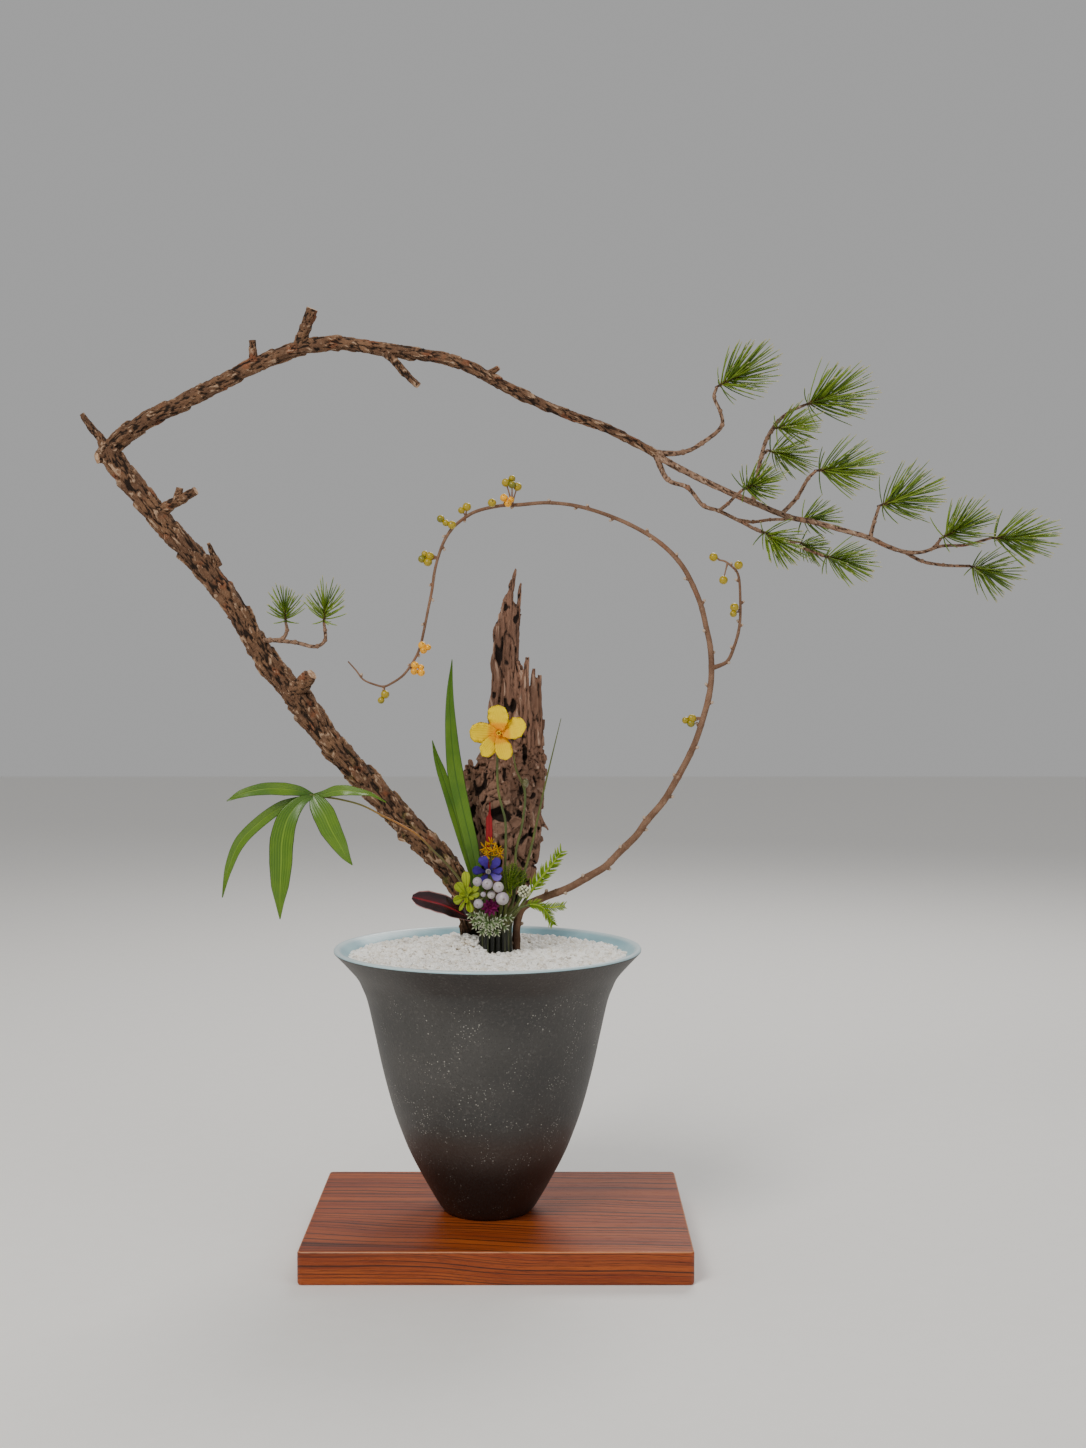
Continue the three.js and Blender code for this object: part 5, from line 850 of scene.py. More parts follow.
def gravel():
    """Small white stones on a bed of the same, heaped and hollowed, which the stems stand in"""
    form = Form()
    radius, floor, bed_top = BED["radius"], BED["floor"], BED["edge"] - BED["under"]
    wall = profile_curve(INNER_PROFILE, 60)
    wall = wall[(wall[:, 1] < bed_top - 1) & (wall[:, 1] > floor)][::-1]
    top = [[radius * share, bed_top] for share in np.linspace(0.985, 0.04, 26)]
    profile = np.vstack([[[INNERMOST, floor]], wall - [1, 0], [[radius - 1, bed_top - 0.5]], top])
    turned(form, profile, 96, np.zeros(len(profile)), gravel_top)
    draw = np.random.default_rng(SEEDS["gravel"])
    corners, faces = stone()
    pitch, stray, rows, columns = (STONES[key] for key in ("pitch", "stray", "rows", "columns"))
    clear = [(WELL["x"], WELL["y"], WELL["radius"] - 2.5), *FEET.values()]
    grid = [(*kind, row, column) for kind in enumerate(STONES["layers"])
            for row in range(-rows, rows + 1) for column in range(-columns, columns + 1)]
    for layer, share, row, column in grid:
        x = VASE_AXIS_X + (column + 0.5 * (row % 2) + 0.5 * layer) * pitch + draw.uniform(-stray, stray)
        y = (row + 0.5 * layer) * pitch * STONES["row"] + draw.uniform(-stray, stray)
        size = draw.uniform(*STONES["size"])
        shape = draw.normal(0, STONES["shape"], (3, 3))
        rough = draw.uniform(*STONES["rough"], (len(corners), 1))
        tone, kept, lift = draw.uniform(0, 1, 3)
        if kept > share or math.hypot(x - VASE_AXIS_X, y) > radius - size * STONES["edge_share"]:
            continue
        if any(math.hypot(x - clear_x, y - clear_y) < reach for clear_x, clear_y, reach in clear):
            continue
        z = BED["edge"] + gravel_top(x, y) - STONES["sunk"]
        z += layer * STONES["layer_rise"] + (lift - 0.5) * STONES["uneven"]
        shape = np.eye(3) + (shape + shape.T) / 2
        place = corners @ shape * size * rough * [1, 1, STONES["flat"]] + [x, y, z]
        form.add(place, np.tile([0, 0, 0.2 + 0.8 * tone], (len(corners), 1)), faces)
    form.show("gravel", pebble_finish(), smooth=False)


def plates(length, width, depth, seed=0.0):
    """Bark relief: long plates with cracks between them, each proud at one end; the tone mark rises on the
    proud end and on a plate's raised edge, where a highlight is painted
    """
    lean, crack_width, highlight_edge_width = 1.1, 0.2, 0.08

    def relief(run, turn, radius):
        lift, tone = np.zeros(radius.shape), np.zeros(radius.shape)
        for (i, j), r in np.ndenumerate(np.maximum(radius, 1.0)):
            over, up = math.cos(turn[j]) * r / width, math.sin(turn[j]) * r / width
            spot = Vector((run[i] / length + seed, over, up))
            spot = spot + 0.34 * noise.noise_vector(spot * 1.9)
            gaps, points = noise.voronoi(spot)
            gap = gaps[1] - gaps[0]
            # 0 in a crack and 1 on a plate; the dark it brings is partly painted shade
            crack_and_shade = min(gap / crack_width, 1.0)
            plate = noise.cell(points[0] * 7.3)
            proud = lean * (spot.x - points[0].x)
            rise = crack_and_shade ** 0.5 * (0.55 + 0.5 * plate + proud)
            fine = noise.fractal(Vector((run[i] / 3.4 + seed, spot.y * 3, spot.z * 3)), 1.0, 2.0, 3)
            # Painted highlight: a plate's raised edge gets a higher tone
            edge = math.exp(-((gap - crack_width) / highlight_edge_width) ** 2) * max(proud + 0.2, 0)
            lift[i, j] = (rise + 0.2 * fine - 0.6) * depth * r
            tone[i, j] = crack_and_shade * (0.66 + 0.26 * plate + 0.36 * proud) + 0.2 * fine + 1.1 * edge
        return lift, np.clip(tone, 0, 1.4)
    return relief


def foot_of(name, heights, radii):
    """Stops of a limb's straight foot in the gravel"""
    return [[*FEET[name][:2], z, radius] for z, radius in zip(heights, radii)]


def pine_branch():
    """Trunk, arch and bough, with the cut stubs and the twigs that grow from them"""
    form = Form()
    foot = foot_of("pine", (200, 225, 243), (7, 7.4, 7.8))
    tube(form, follow(np.vstack([foot, route(PINE_TRUNK)]), 1.1), 60, plates(19, 5.2, 0.25), end_part=1)
    tube(form, follow(route(PINE_ARCH), 1.15), 40, plates(15, 3.7, 0.23, 40))
    tube(form, follow(route(PINE_BOUGH), 1.4), 16, plates(8, 2.6, 0.13, 80), part=2)
    elbow, knob_radius = at(-319.8, 643.5, 30), 8.6
    knob = [[*(elbow + UP * knob_radius * math.sin(a)), knob_radius * math.cos(a)]
            for a in np.linspace(-1.5, 1.5, 24)]
    tube(form, np.array(knob), 44, plates(9, 4.5, 0.2, 60))
    for number, stub in enumerate(PINE_STUBS):
        tube(form, follow(route(stub), 1.2), 22, plates(8, 3.6, 0.2, 100 + 9 * number), end_part=1)
    for number, (_, stations) in enumerate(PINE_TWIGS.values()):
        tube(form, follow(route(stations), 1.5), 9, plates(5, 2.0, 0.16, 300 + 7 * number), part=2)
        for joint in route(stations)[1:-1]:
            bead(form, joint[:3] + [0.2, -0.1, 0.15], joint[3] * 1.28, tone=0.8, part=2, sides=9, tall=7)
    bark = bark_finish("pine_bark", "5e4331", "795941", "1a110b", "86482a", "b89a7e",
                       moss=0.3, depth=0.0011)
    form.show("pine_branch", bark, cut_finish(), TWIG)


def pine_tuft(name, way, stations, seed):
    """Stiff needles fan out of a short shoot, the lowest leaning furthest"""
    form, draw, axis = Form(), seeded(seed), unit(way)
    end = route(stations)[-1, :3]
    side = unit(np.cross(axis, UP))
    over = np.cross(axis, side)
    size = TUFT_SIZES.get(name, 1)
    reach, count = NEEDLES["reach"] * size, round(NEEDLES["count"] * size)
    least, most = NEEDLES["flat_spread" if name in FLAT_TUFTS else "spread"]
    core = [[*(end + axis * share * reach), thick] for share, thick in ((-0.08, 0.9), (0.4, 1.2), (1, 0.5))]
    tube(form, follow(core, 2), 8, part=1)
    roots, aims, lengths, tones = [], [], [], []
    for number in range(count):
        share = (number + 0.5) / count
        turn = number * GOLDEN_TURN + draw(-0.3, 0.3)
        stray = number >= count - NEEDLES["strays"]
        lean = least + (most - least) * share ** 0.55 + draw(-0.14, 0.14) + 0.6 * stray
        out = side * math.cos(turn) + over * math.sin(turn)
        roots.append(end + axis * reach * (0.95 - 0.85 * share))
        aims.append(axis * math.cos(lean) + out * math.sin(lean))
        lengths.append(size * draw(*NEEDLES["length"]) * (0.7 if stray else 1))
        tones.append(draw(0, 1))
    droop = axis * 0.18 + UP * 0.03
    spikes(form, roots, aims, lengths, NEEDLES["radius"], droop, tones, sides=4, blunt=0.6)
    form.show("pine_tuft_" + name, NEEDLE, TWIG)


def knuckles(run, turn, radius):
    """Faint joints and long shallow wrinkles along the vine"""
    lift, tone = np.zeros(radius.shape), np.zeros(radius.shape)
    for (i, j), r in np.ndenumerate(radius):
        shift = 0.6 * noise.noise(Vector((run[i] / 31, 0, 0)))
        ring = math.exp(-((run[i] / 23 + shift) % 1.0 - 0.5) ** 2 / 0.003)
        spot = Vector((run[i] / 30, math.cos(turn[j]) * 1.4, math.sin(turn[j]) * 1.4))
        wrinkle = noise.fractal(spot, 1.0, 2.0, 3)
        lift[i, j] = r * (0.1 * ring + 0.06 * wrinkle)
        tone[i, j] = 0.72 + 0.25 * wrinkle + 0.2 * ring
    return lift, tone


def vine_buds(form, limb, count, draw):
    """Buds to either side of a limb in turn, each a swelling with a pale tip"""
    for number in range(1, count):
        i = int((number + draw(-0.45, 0.45)) / count * len(limb))
        spot = limb[min(i, len(limb) - 3)]
        along = unit(limb[min(i + 1, len(limb) - 1), :3] - spot[:3])
        hand = 1 if number % 2 else -1
        outward = unit(np.cross(along, FRONT) * hand + along * 0.7 + FRONT * draw(-0.7, 0.9))
        tall, wide = spot[3] + draw(1.0, 2.3), 1.0 + 0.14 * spot[3]
        bead(form, spot[:3] + outward * tall * 0.5, wide * 1.1, outward, 1.6, 0.75, sides=9, tall=8)
        bead(form, spot[:3] + outward * tall, wide, outward + along * 0.5, 1.1, 1.2,
             part=1, sides=10, tall=8)


def berry_vine():
    """The looped stem with its side shoot, buds and stalks, and the berries on the stalks"""
    form, draw = Form(), seeded(SEEDS["vine"])
    foot = foot_of("vine", (205, 230, 245), (3.3, 3.3, 3.3))
    long_stem, shoot = follow(np.vstack([foot, route(VINE_STEM)]), 1.5), follow(route(VINE_SHOOT), 1.5)
    tube(form, long_stem, 14, knuckles)
    tube(form, shoot, 10, knuckles)
    vine_buds(form, long_stem, 40, draw)
    vine_buds(form, shoot, 8, draw)
    for _, _, anchor, berries in BERRY_BUNCHES:
        root = at(*anchor)
        for tip in (at(*berry) for berry in berries):
            ends = np.array([root, (root + tip) / 2 + [0, -0.6, 0.8], tip])
            tube(form, follow(np.hstack([ends, [[0.9], [0.55], [0.55]]]), 1.2), 6, tone=0.7)
    bark = bark_finish("vine_bark", "6a4e3c", "866752", "2e1d14", "80563f", "bca088", depth=0.0004)
    bud_tip = bark_finish("vine_bud_tip", "7c6350", "a08a76", "3c2a20", "70543f", "c8b4a0", depth=0.0003)
    form.show("berry_vine", bark, bud_tip)
    olive = skin_finish("berry_olive", "a38c06", "6c6c0c", "2a1a0c", bloom="c2ad3c")
    orange = skin_finish("berry_orange", "f0aa00", "dc9800", "6a3c08", bloom="f4c428", mist=0.06)
    kinds = {"olive": (3.5, olive), "orange": (3.2, orange)}
    for name, kind, anchor, berries in BERRY_BUNCHES:
        form, (size, skin) = Form(), kinds[kind]
        for number, berry in enumerate(berries):
            radius = size * (1 - 0.1 * ((number * 5) % 3))
            away = at(*berry) - at(*anchor) + FRONT * 2.5
            bead(form, at(*berry), radius, away, 1.02, (number * 0.37) % 1, sides=22, tall=18, dimple=0.05)
        form.show(name, skin)


def drift_block():
    """The driftwood's heart, strands, splinters and knots, melted into one block of wood"""
    form = Form()
    draw = np.random.default_rng(SEEDS["driftwood"])
    foot = foot_of("driftwood", (243, 225, 203), (8, 8, 8))
    tube(form, follow(np.vstack([route(DRIFT_HEART), foot]), 5), 24, thinning=0.42)
    splinters, splinter_share, splinter_tip, drop = 3, 0.42, 1.1, 22
    for strand in DRIFT_STRANDS:
        stops = route(strand)
        tube(form, follow(stops, 4), 9)
        for _ in range(splinters):
            shift = np.array([draw.uniform(-1, 1), draw.uniform(-0.9, 0.5), 0]) * stops[:, 3].max() * 0.9
            splinter = stops[1:].copy()
            splinter[:, :3] += shift * np.linspace(0.5, 1, len(splinter))[:, None]
            splinter[:, 2] -= draw.uniform(0, drop)
            splinter[:, 3] *= splinter_share
            splinter[0, 3] = splinter_tip
            tube(form, follow(splinter, 4), 7)
    for centre, radius in DRIFT_KNOTS:
        bead(form, at(*centre), radius * 1.15, stretch=1.3)
    block = bpy.data.objects.new("driftwood_block", form.mesh("driftwood_block"))
    bpy.context.scene.collection.objects.link(block)
    block.modifiers.new("melt", "REMESH").voxel_size = 1.0 * MM
    block.modifiers.new("smooth", "SMOOTH").iterations = 3
    mesh = bpy.data.meshes.new_from_object(block.evaluated_get(bpy.context.evaluated_depsgraph_get()))
    bpy.data.objects.remove(block)
    return mesh


def drift_relief_and_painted_light(x, y, z):
    """The tone of a place on the driftwood, low in crevices and pits for painted shade and high on raised
    edges for painted highlights, and how far it stands out where the wood is stout
    """
    low = min(max((DRIFT_GNARLED - z) / DRIFT_CHANGE, 0), 1)
    swirl = noise.noise_vector(Vector((x, y, z * 0.7)) / 24) * (1.5 + 11 * low)
    spot = Vector((x + swirl.x, y + 0.5 * swirl.y, (z + swirl.z) * (0.11 + 0.2 * low)))
    width = 5.2 + 1.6 * low
    gaps, points = noise.voronoi(spot / width)
    rod = noise.cell(points[0] * 5.7) - 0.5
    crevice = min((gaps[1] - gaps[0]) / 0.24, 1) ** 0.7
    fine = min(abs(noise.noise(Vector((spot.x, spot.y, spot.z * 0.5)) / 1.5)) * 4, 1) ** 0.7
    hollow = noise.noise(Vector((x + swirl.x, y * 1.2, z * (0.4 + 0.2 * low))) / (4.2 + 1.5 * low))
    pit = max(hollow - 0.3, 0) * (2.2 + 1.8 * low)
    edge = max((spot.z / width - points[0].z) * 1.3, 0) * crevice
    # The tone carries painted light: low in crevices and pits for shade, high on raised edges for
    # highlights
    tone = 0.66 * crevice + 0.3 * fine + 0.5 * edge - 1.7 * pit
    return tone, 1.9 * crevice + 0.7 * fine + 2.2 * rod + 0.9 * edge - 3.4 * pit - 1.8


def driftwood():
    """Splintered strands grown into one block of wood, then worn into flutes along the grain"""
    mesh = drift_block()
    places, normals = np.empty((2, len(mesh.vertices) * 3))
    mesh.vertices.foreach_get("co", places)
    mesh.vertices.foreach_get("normal", normals)
    places, normals = places.reshape(-1, 3) / MM, normals.reshape(-1, 3)
    corners, faces = [corner.co for corner in mesh.vertices], [face.vertices for face in mesh.polygons]
    solid = BVHTree.FromPolygons(corners, faces)
    tones, lifts = np.array([drift_relief_and_painted_light(*place) for place in places]).T
    for place, normal, lift in zip(places, normals, lifts):
        inward = Vector(-normal)
        through = solid.ray_cast(Vector(place) * MM + inward * 0.1 * MM, inward)[3]
        place += normal * min((through or 0) / (DRIFT_STOUT * MM), 1) * lift
    mesh.vertices.foreach_set("co", (places * MM).ravel())
    set_marks(mesh, np.stack([places[:, 2] / 500, 0 * tones, np.clip(tones, 0, 1.4)], 1))
    show(mesh, "driftwood", [drift_finish()])


def rooted(name):
    """Stops of a stem that stands in the column at its own slot, then leaves for its stations"""
    slot, stations = STEMS[name]
    x, y = (WELL[axis] + place * pitch for axis, place, pitch in zip("xy", slot, WELL["pitch"]))
    heights = (WELL["floor"] + 0.3, 230, WELL["top"] - 8, WELL["top"])
    return np.vstack([[[x, y, z, WELL["stem"]] for z in heights], route(stations)])


def stem(form, name, sides=8, part=1, step=2.5):
    """One stem of the column, from the gravel to its own end"""
    tube(form, follow(rooted(name), step), sides, part=part)


def petals(form, centre, facing, turns, shape, reach, half, cup, ripple=0, part=0, fold=0.18):
    """Petals round a centre, each turned a little so that it lies over one neighbour"""
    right = unit(np.cross(UP, facing))
    rise = unit(np.cross(facing, right))
    for number, (turn, far, wide) in enumerate(turns):
        angle = math.radians(turn)
        outward = right * math.cos(angle) + rise * math.sin(angle)
        stops = [[*(centre + outward * reach * far * s + facing * cup * reach * s * s), half * wide * w]
                 for s, w in shape]
        twisted = facing + np.cross(facing, outward) * PETAL_TWIST
        tone = (number * 0.41) % 1
        leaf(form, stops, twisted, reach / PETAL_STEPS, 8, fold, PETAL_THICK, ripple, tone, part)


def ways_round(count, step, spread):
    """Directions round the line of sight, each a step on from the last"""
    turn = np.arange(count) * step
    return spread * np.stack([np.cos(turn), 0 * turn, np.sin(turn)], 1)


def sword_leaves():
    green = blade_finish("sword_leaf_green", "446a10", "5f801a", "30560c", "1c3c0a", 11, gloss=0.36)
    for name in ("sword_leaf_tall", "sword_leaf_short"):
        form = Form()
        leaf(form, route(BLADES[name]), step=3, across=10, thick=0.8)
        stem(form, name, 10, step=3)
        form.show(name, green, STEM)


def bare_stems():
    """The grass blade and the two stems that rise over the driftwood, one of them with a bud"""
    blade, flower, budded = Form(), Form(), Form()
    stem(blade, "grass_blade", part=0, step=3)
    blade.show("grass_blade", STEM)
    stem(flower, "flower_stem", 9, 0)
    flower.show("flower_stem", STEM)
    stem(budded, "bud_stem", 9, 0)
    bead(budded, at(21.3, 374.5, -4), 2.9, [0.1, -0.35, 1], 1.5, part=1, sides=16, tall=14, dimple=0.3)
    budded.show("bud_stem", STEM, skin_finish("green_bud", "5d5a30", "7c7440", "2a2414"))


def leaf_spray():
    form = Form()
    stalk = rooted("leaf_spray")
    stalk[6:, 3] *= 0.72
    tube(form, follow(stalk, 2.5), 9, part=1)
    for number, stations in enumerate(SPRAY_LEAVES):
        leaf(form, route(stations), step=2, across=12, fold=0.28, thick=0.7, ripple=0.25,
             tone=number * 0.22)
    green = blade_finish("spray_leaf_green", "3e660c", "5a7c12", "749428", "30580c", 9,
                         gloss=0.24, coat=0.45)
    form.show("leaf_spray", green, stalk_finish())


def yellow_flower():
    form = Form()
    centre, facing, neck = at(0, 415.5, -20), unit([-0.05, -1, 0.1]), [*at(-1.2, 404, -15), 1.7]
    petals(form, centre, facing, YELLOW_PETALS, ROUND_PETAL, reach=22.5, half=9.6, cup=0.25, ripple=1)
    throat = [(1.6, -6), (3.2, -2), (4.1, 1.3), (3.7, 1.6), (2.4, -0.6), (0.7, -2.4)]
    spun(form, centre, facing, throat, part=1, sides=20)
    tube(form, follow([[*centre, 2.2], neck], 1.5), 12, part=1)
    heart, stamens = centre - facing * 2, facing * 1.4 + ways_round(6, FULL_TURN / 6, 0.34)
    spikes(form, [heart] * 6, stamens, 6, 0.32, part=2, blunt=1.0)
    for way in stamens:
        bead(form, heart + unit(way) * 6, 0.7, way, 1.6, part=2, sides=8, tall=6)
    for hand in (-1, 1):
        sepal = [[0, 405, -15, 0.8], [2 * hand, 402.5, -17.5, 1.5], [5.5 * hand, 399, -20, 0.3]]
        sepal = route([[x - 1.2, *rest] for x, *rest in sepal])
        leaf(form, sepal, step=0.8, across=6, fold=0.3, thick=0.5, part=3)
    yellow = bloom_finish("petal_yellow", "f0cc00", "f6d800", "ea8e00", "e4b000", reach=0.38, full=0.22)
    orange = bloom_finish("flower_throat", "de7c00", "ec9604", "8e4f04")
    gold = bloom_finish("anther_gold", "e8b414", "ffd42a", "b8780a", rough=0.75)
    form.show("yellow_flower", yellow, orange, gold, STEM)


def red_leaves():
    """The flat red blade, and the dark red leaf that lies over the rim"""
    blade, dark = Form(), Form()
    leaf(blade, route(BLADES["red_blade"]), thick=0.8)
    stem(blade, "red_blade", 9, step=3)
    leaf(dark, route(BLADES["dark_red_leaf"]), unit([0, -0.75, 0.65]), 1.2, 18,
         fold=0.2, thick=0.7, ripple=0.45)
    stem(dark, "dark_red_leaf", 9, step=3)
    blade.show("red_blade", blade_finish("blade_red", "820810", "9c1018", "56040a", "640810", 5), STEM)
    maroon = blade_finish("leaf_maroon", "16080b", "2c1018", "8c1420", "2a080d", 1, gloss=0.1,
                          coat=0.7, rib=0.13, rim="c79490", blotch=0.1)
    dark.show("dark_red_leaf", maroon, STEM)


def golden_spray():
    form, draw = Form(), seeded(SEEDS["golden"])
    stem(form, "golden_spray")
    for star in ([-11.5, 321, -15], [-6.6, 325, -14], [-1.6, 320.2, -15], [-2.5, 314.8, -15],
                 [-10.6, 315.6, -17], [-5.4, 318.6, -18], [0.4, 316.6, -17]):
        heart = at(*star)
        branch = [[*at(-6.6, 304.9, -13), 0.8], [*((at(-6.6, 311, -14) + heart) / 2), 0.6], [*heart, 0.6]]
        tube(form, follow(branch, 2), 6, part=1)
        bead(form, heart, 0.9, sides=8, tall=6, tone=0.5)
        turns = [k * FULL_TURN / 9 + draw(-0.3, 0.3) for k in range(9)]
        aims = [[math.cos(turn), draw(-1.1, 0.5), math.sin(turn) + 0.15] for turn in turns]
        for aim in aims:
            length, radius, tone = draw(3.2, 6.2), draw(0.36, 0.55), draw(0, 1)
            spikes(form, [heart], [aim], length, radius, UP * 0.1, tone, sides=5, blunt=0.5)
    gold = bloom_finish("spray_gold", "dc9600", "eebc08", "6e5a10", "9a6a0a", rough=0.55)
    form.show("golden_spray", gold, STEM)


def blue_flower():
    form = Form()
    centre, facing = at(-9, 301.5, -21), unit([0, -1, 0.3])
    for turns, part in ((BLUE_PETALS, 0), (LILAC_PETAL, 3)):
        petals(form, centre, facing, turns, SPOON_PETAL, 13.6, 4.4, 0.22, ripple=0.5, part=part, fold=0.24)
    bead(form, centre + facing * 0.8, 2.2, facing, 0.8, part=1, tone=0.2)
    spread = 0.8 * (0.4 + 0.3 * (np.arange(18)[:, None] % 3))
    stamens = facing + ways_round(18, 2.4, spread)
    spikes(form, [centre + facing] * 18, stamens, 3.3, 0.3, tones=0.6, part=1, blunt=1.0)
    stem(form, "blue_flower", part=2)
    blue = bloom_finish("petal_blue", "3a1f78", "4c369a", "1c0c50", "140a3c")
    heart = bloom_finish("flower_heart", "77708c", "b4acb0", "3c3260", "ddd8c8", rough=0.7)
    lilac = bloom_finish("petal_lilac", "5a449e", "7a66c0", "34247a", "3c2c88")
    form.show("blue_flower", blue, heart, STEM, lilac)


def pale_fruits():
    form, fork = Form(), at(-9, 285.5, -28)
    foot = rooted("pale_fruits")
    tube(form, follow(np.vstack([foot, [*fork, 1.2]]), 2.5), 8, part=1)
    for number, (centre, radius) in enumerate(FRUITS):
        spot = at(*centre)
        away = FRONT + 0.35 * unit(spot - fork)
        bead(form, spot, radius, away, 1.02, number * 0.37 % 1, sides=26, tall=20, dimple=0.05)
        stalk = [[*fork, 0.8], [*((fork + spot) / 2 + [0, 1, 0]), 0.7], [*spot, 0.7]]
        tube(form, follow(stalk, 2), 6, part=1)
    skin = skin_finish("fruit_pale", "a59aa6", "bdb4b0", "7c7068", gloss=0.36, bloom="d8d0dc", mist=0.25)
    form.show("pale_fruits", skin, STEM)


def knobbly_head():
    form, centre, knobs = Form(), at(20.5, 285.1, -18), 34
    bead(form, centre, 4.1, tone=1.0, part=2, sides=20, tall=14)
    for number in range(knobs):
        height, turn = 1 - 2 * (number + 0.5) / knobs, number * GOLDEN_TURN
        across = math.sqrt(1 - height * height)
        outward = np.array([across * math.cos(turn), across * math.sin(turn), height])
        bead(form, centre + outward * 4.35, 1.1, outward, 1.15, number * 0.3 % 1, sides=10, tall=8)
    stem(form, "knobbly_head")
    head = skin_finish("head_cream", "d9d8bc", "bfc290", "e8e4d0", gloss=0.5)
    core = skin_finish("head_core", "4a4c28", "2f3218", "2f3218", gloss=0.7)
    form.show("knobbly_head", head, STEM, core)


def magenta_flower():
    form = Form()
    centre, facing = at(-7.4, 272, -22), unit([0, -1, 0.25])
    for layer, (count, reach, cup) in enumerate(((10, 7.4, 0.08), (9, 5.8, 0.45), (6, 4, 0.9))):
        turns = [(10 + 17 * layer + number * 360 / count, 1, 1) for number in range(count)]
        petals(form, centre + facing * layer * 0.5, facing, turns, POINTED_PETAL, reach, 1.75, cup, 0.3)
    bead(form, centre + facing * 0.8, 1.3, facing, part=1)
    stem(form, "magenta_flower", part=2)
    magenta = bloom_finish("petal_magenta", "860c58", "b02a80", "4c0828", "38051e")
    form.show("magenta_flower", magenta, bloom_finish("dark_heart", "5a0c34", "7a1848", "22040f"), STEM)


def lime_rosette():
    form = Form()
    centre, facing = at(-26.2, 281.4, -24), unit([0.1, -1, 0.3])
    petals(form, centre, facing, LIME_LEAVES, SPOON_PETAL, reach=13.8, half=4.4, cup=0.15, fold=0.32)
    petals(form, centre + facing * 1.4, facing, LIME_HEART, SPOON_PETAL, 7, 2.6, 0.45, fold=0.35)
    bead(form, centre, 1.8, facing)
    stem(form, "lime_rosette")
    lime = blade_finish("leaf_lime", "8ea012", "aab41e", "6a8414", "54701a", 3,
                        gloss=0.42, coat=0.1, rim="c2c65a")
    form.show("lime_rosette", lime, STEM)


def sprig(form, stops, rows, length, radius, start=0.2, seed=3, lift=0.6, sides=5, sweep=1.0):
    """Narrow leaflets to both sides of a stem and some towards the front; sweep lays them along it"""
    draw = seeded(seed)
    line = follow(stops, 1.5)
    ways = headings(line)
    roots, aims, lengths, tones = [], [], [], []
    for row in range(rows):
        share = start + (0.98 - start) * row / (rows - 1)
        i = int(share * (len(line) - 1))
        sideways = unit(np.cross(ways[i], FRONT))
        for hand in (-1, 1):
            roots.append(line[i, :3])
            aims.append(ways[i] * sweep * draw(0.8, 1.2) + sideways * hand + FRONT * draw(-lift, lift))
            lengths.append(length * (1 - 0.35 * share) * draw(0.8, 1.12))
            tones.append(draw(0, 1))
    spikes(form, roots, aims, lengths, radius, ways[-1] * 0.12, tones, sides=sides)


def ferns():
    upper, lower, tuft = Form(), Form(), Form()
    fern = bloom_finish("fern_green", "74941a", "a8bc3c", "5c7c20", "4a7014", rough=0.45)
    line = rooted("fern_sprig_upper")
    tube(upper, follow(line, 2), 8, part=1)
    tube(upper, follow(line[5:] + [0, -0.1, 0, 0.06], 2), 8, tone=0.9)
    sprig(upper, line[5:], 20, 10.4, 0.74)
    upper.show("fern_sprig_upper", fern, STEM)
    line = rooted("fern_sprig_lower")
    branch = route([[27.1, 274.5, -25.3, 1], [41.8, 272, -24, 0.8], [54.1, 273.6, -23, 0.5]])
    tube(lower, follow(line[:7], 2), 8, part=1)
    tube(lower, follow(line[5:] * [1, 1, 1, 0.75], 2), 8, tone=0.9)
    tube(lower, follow(branch, 2), 7)
    sprig(lower, line[5:], 20, 8.2, 0.56, seed=5)
    sprig(lower, branch, 14, 6.8, 0.5, start=0.35, seed=6, lift=0.5, sweep=0.8)
    lower.show("fern_sprig_lower", fern, STEM)
    stem(tuft, "feathery_tuft")
    for number, tip in enumerate(TUFT_TIPS):
        x, z, depth = 7.2 + 0.32 * number, 277 + 1.5 * (number * 7 % 10), -11 - 0.2 * number
        middle = [(x + tip[0]) / 2 - 0.8, (z + tip[1]) / 2, -13.5, 0.4]
        shoot = route([[x, z, depth, 0.5], middle, [*tip, 0.25]])
        tube(tuft, follow(shoot, 2), 6)
        sprig(tuft, shoot, 16, 6.4, 0.26, start=0.25, seed=20 + number, lift=1.2, sides=3, sweep=0.8)
    thread = bloom_finish("thread_green", "4c781a", "90a838", "30560f", "2a4a10")
    tuft.show("feathery_tuft", thread, STEM)


def leaflet(form, root, way, shares, tone):
    """A small folded leaf on places that are shares of a way out of its root"""
    stops = np.hstack([root + way * np.array(shares)[:, None], [[0.35], [0.68], [0.12]]])
    leaf(form, stops, step=0.7, across=6, fold=0.3, thick=0.35, tone=tone)


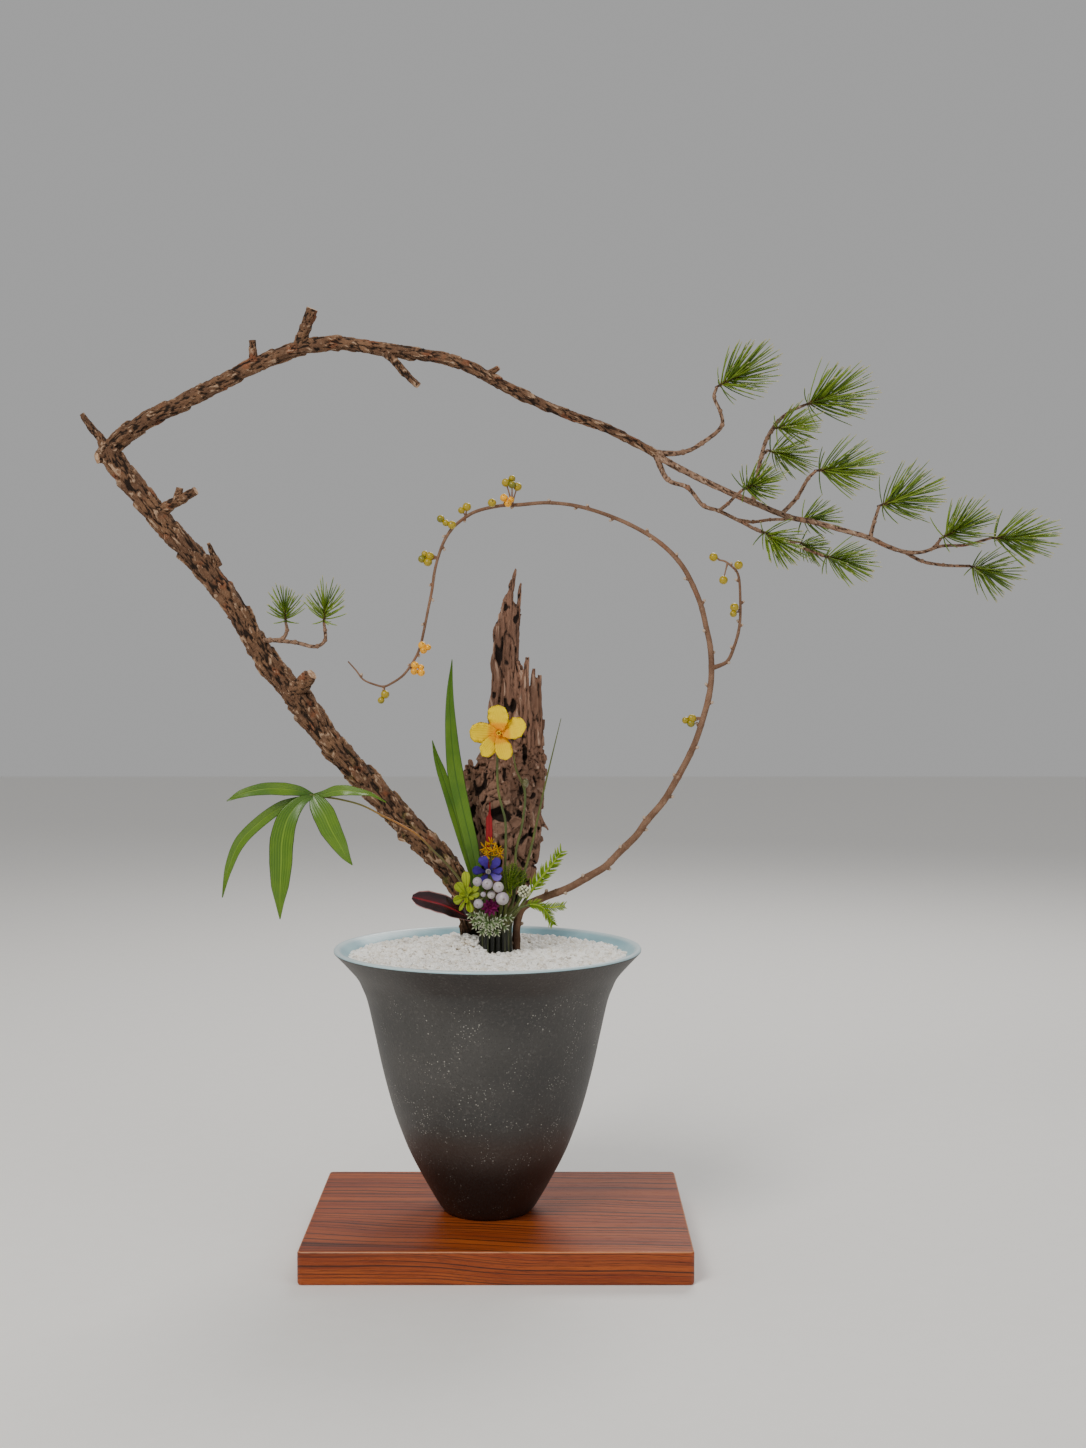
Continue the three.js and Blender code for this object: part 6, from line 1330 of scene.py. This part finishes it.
def pale_leaves():
    """Sprigs of small pale-edged leaves that hang from one stem, each sprig with a few pairs"""
    form, draw, hub = Form(), seeded(SEEDS["pale"]), [-8.2, 259.7, -27]
    stem(form, "pale_edged_leaves")
    for x, z, depth in PALE_TIPS:
        middle = [(x + hub[0]) / 2, (z + hub[1]) / 2 + draw(1, 2), (depth + hub[2]) / 2 - 1.5]
        line = follow(route([[*hub, 0.45], [*middle, 0.4], [x, z, depth, 0.3]]), 1)
        tube(form, line, 5, part=2)
        pairs = 4 if len(line) > 9 else 3
        for pair in range(pairs):
            i = int((0.3 + 0.6 * pair / (pairs - 1)) * (len(line) - 1))
            along = unit(line[min(i + 1, len(line) - 1), :3] - line[i - 1, :3])
            sideways = unit(np.cross(along, FRONT))
            for hand in (-1, 1):
                way = unit(along * 0.8 + sideways * hand + FRONT * draw(-0.3, 0.9)) * draw(3.4, 5.0)
                leaflet(form, line[i, :3], way, (0, 0.5, 1), draw(0, 1))
        leaflet(form, line[-1, :3], unit(line[-1, :3] - line[-3, :3]) * 4.4, (-0.3, 0.2, 0.6), draw(0, 1))
    pale = bloom_finish("leaf_pale_edged", "7f9c58", "f2f0da", "37601a", "b9c79c", reach=0.5)
    form.show("pale_edged_leaves", pale, STEM, stem_finish("pale_shoot", "5c7c30", "44661f"))


twigs = {**PINE_TWIGS, "end": ((1, -0.1, 0.02), PINE_BOUGH)}
for number, (name, (way, stations)) in enumerate(twigs.items()):
    pine_tuft(name, way, stations, SEEDS["tufts"] + number)
for make in (board, vase, gravel, pine_branch, berry_vine, driftwood, sword_leaves, bare_stems,
             leaf_spray, yellow_flower, red_leaves, golden_spray, blue_flower, pale_fruits,
             knobbly_head, magenta_flower, lime_rosette, ferns, pale_leaves):
    make()


# Floor, light and camera

def studio():
    scene = bpy.context.scene
    floor = bpy.data.meshes.new("floor")
    floor.from_pydata([(-6, -4, 0), (6, -4, 0), (6, 6, 0), (-6, 6, 0)], [], [(0, 1, 2, 3)])
    f = Finish("pale_floor")
    speckle = f.noise(60, 4)
    f.colour = f.mix(speckle, "efede9", "f3f1ee")
    floor.materials.append(f.done(0.8 + speckle * 0.1, speckle, 0.0002))
    ground = bpy.data.objects.new("floor", floor)
    world = bpy.data.worlds.new("soft_room")
    world.use_nodes = True
    colour, strength = world.node_tree.nodes["Background"].inputs[:2]
    colour.default_value, strength.default_value = (1, 1, 1, 1), 0.4
    scene.world = world
    lens = bpy.data.cameras.new("viewpoint")
    lens.sensor_fit, lens.sensor_height, lens.sensor_width = "AUTO", FILM, FILM
    lens.lens = LENS
    camera = bpy.data.objects.new("viewpoint", lens)
    camera.location = EYE * MM
    camera.rotation_euler = (math.radians(90 - EYE_PITCH), 0, 0)
    scene.camera = camera
    made, aim = [ground, camera], Vector((0.03, 0, 0.4))
    for name, spot, power, size, tint in (
            ("key", (-0.9, -1.6, 2.0), 40, 0.9, (1.0, 0.97, 0.92)),
            ("fill", (1.7, -1.5, 1.1), 9, 1.6, (0.95, 0.97, 1.0)),
            ("back", (0.5, 1.6, 1.9), 24, 1.0, (1.0, 0.98, 0.95))):
        light = bpy.data.lights.new(name, "AREA")
        light.energy, light.size, light.color = power, size, tint
        made.append(bpy.data.objects.new(name, light))
        made[-1].location = spot
        made[-1].rotation_euler = (aim - Vector(spot)).to_track_quat("-Z", "Y").to_euler()
    for thing in made:
        scene.collection.objects.link(thing)
    ground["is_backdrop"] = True


studio()
[[list(corner) for corner in box] for box in (cad_box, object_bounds())]
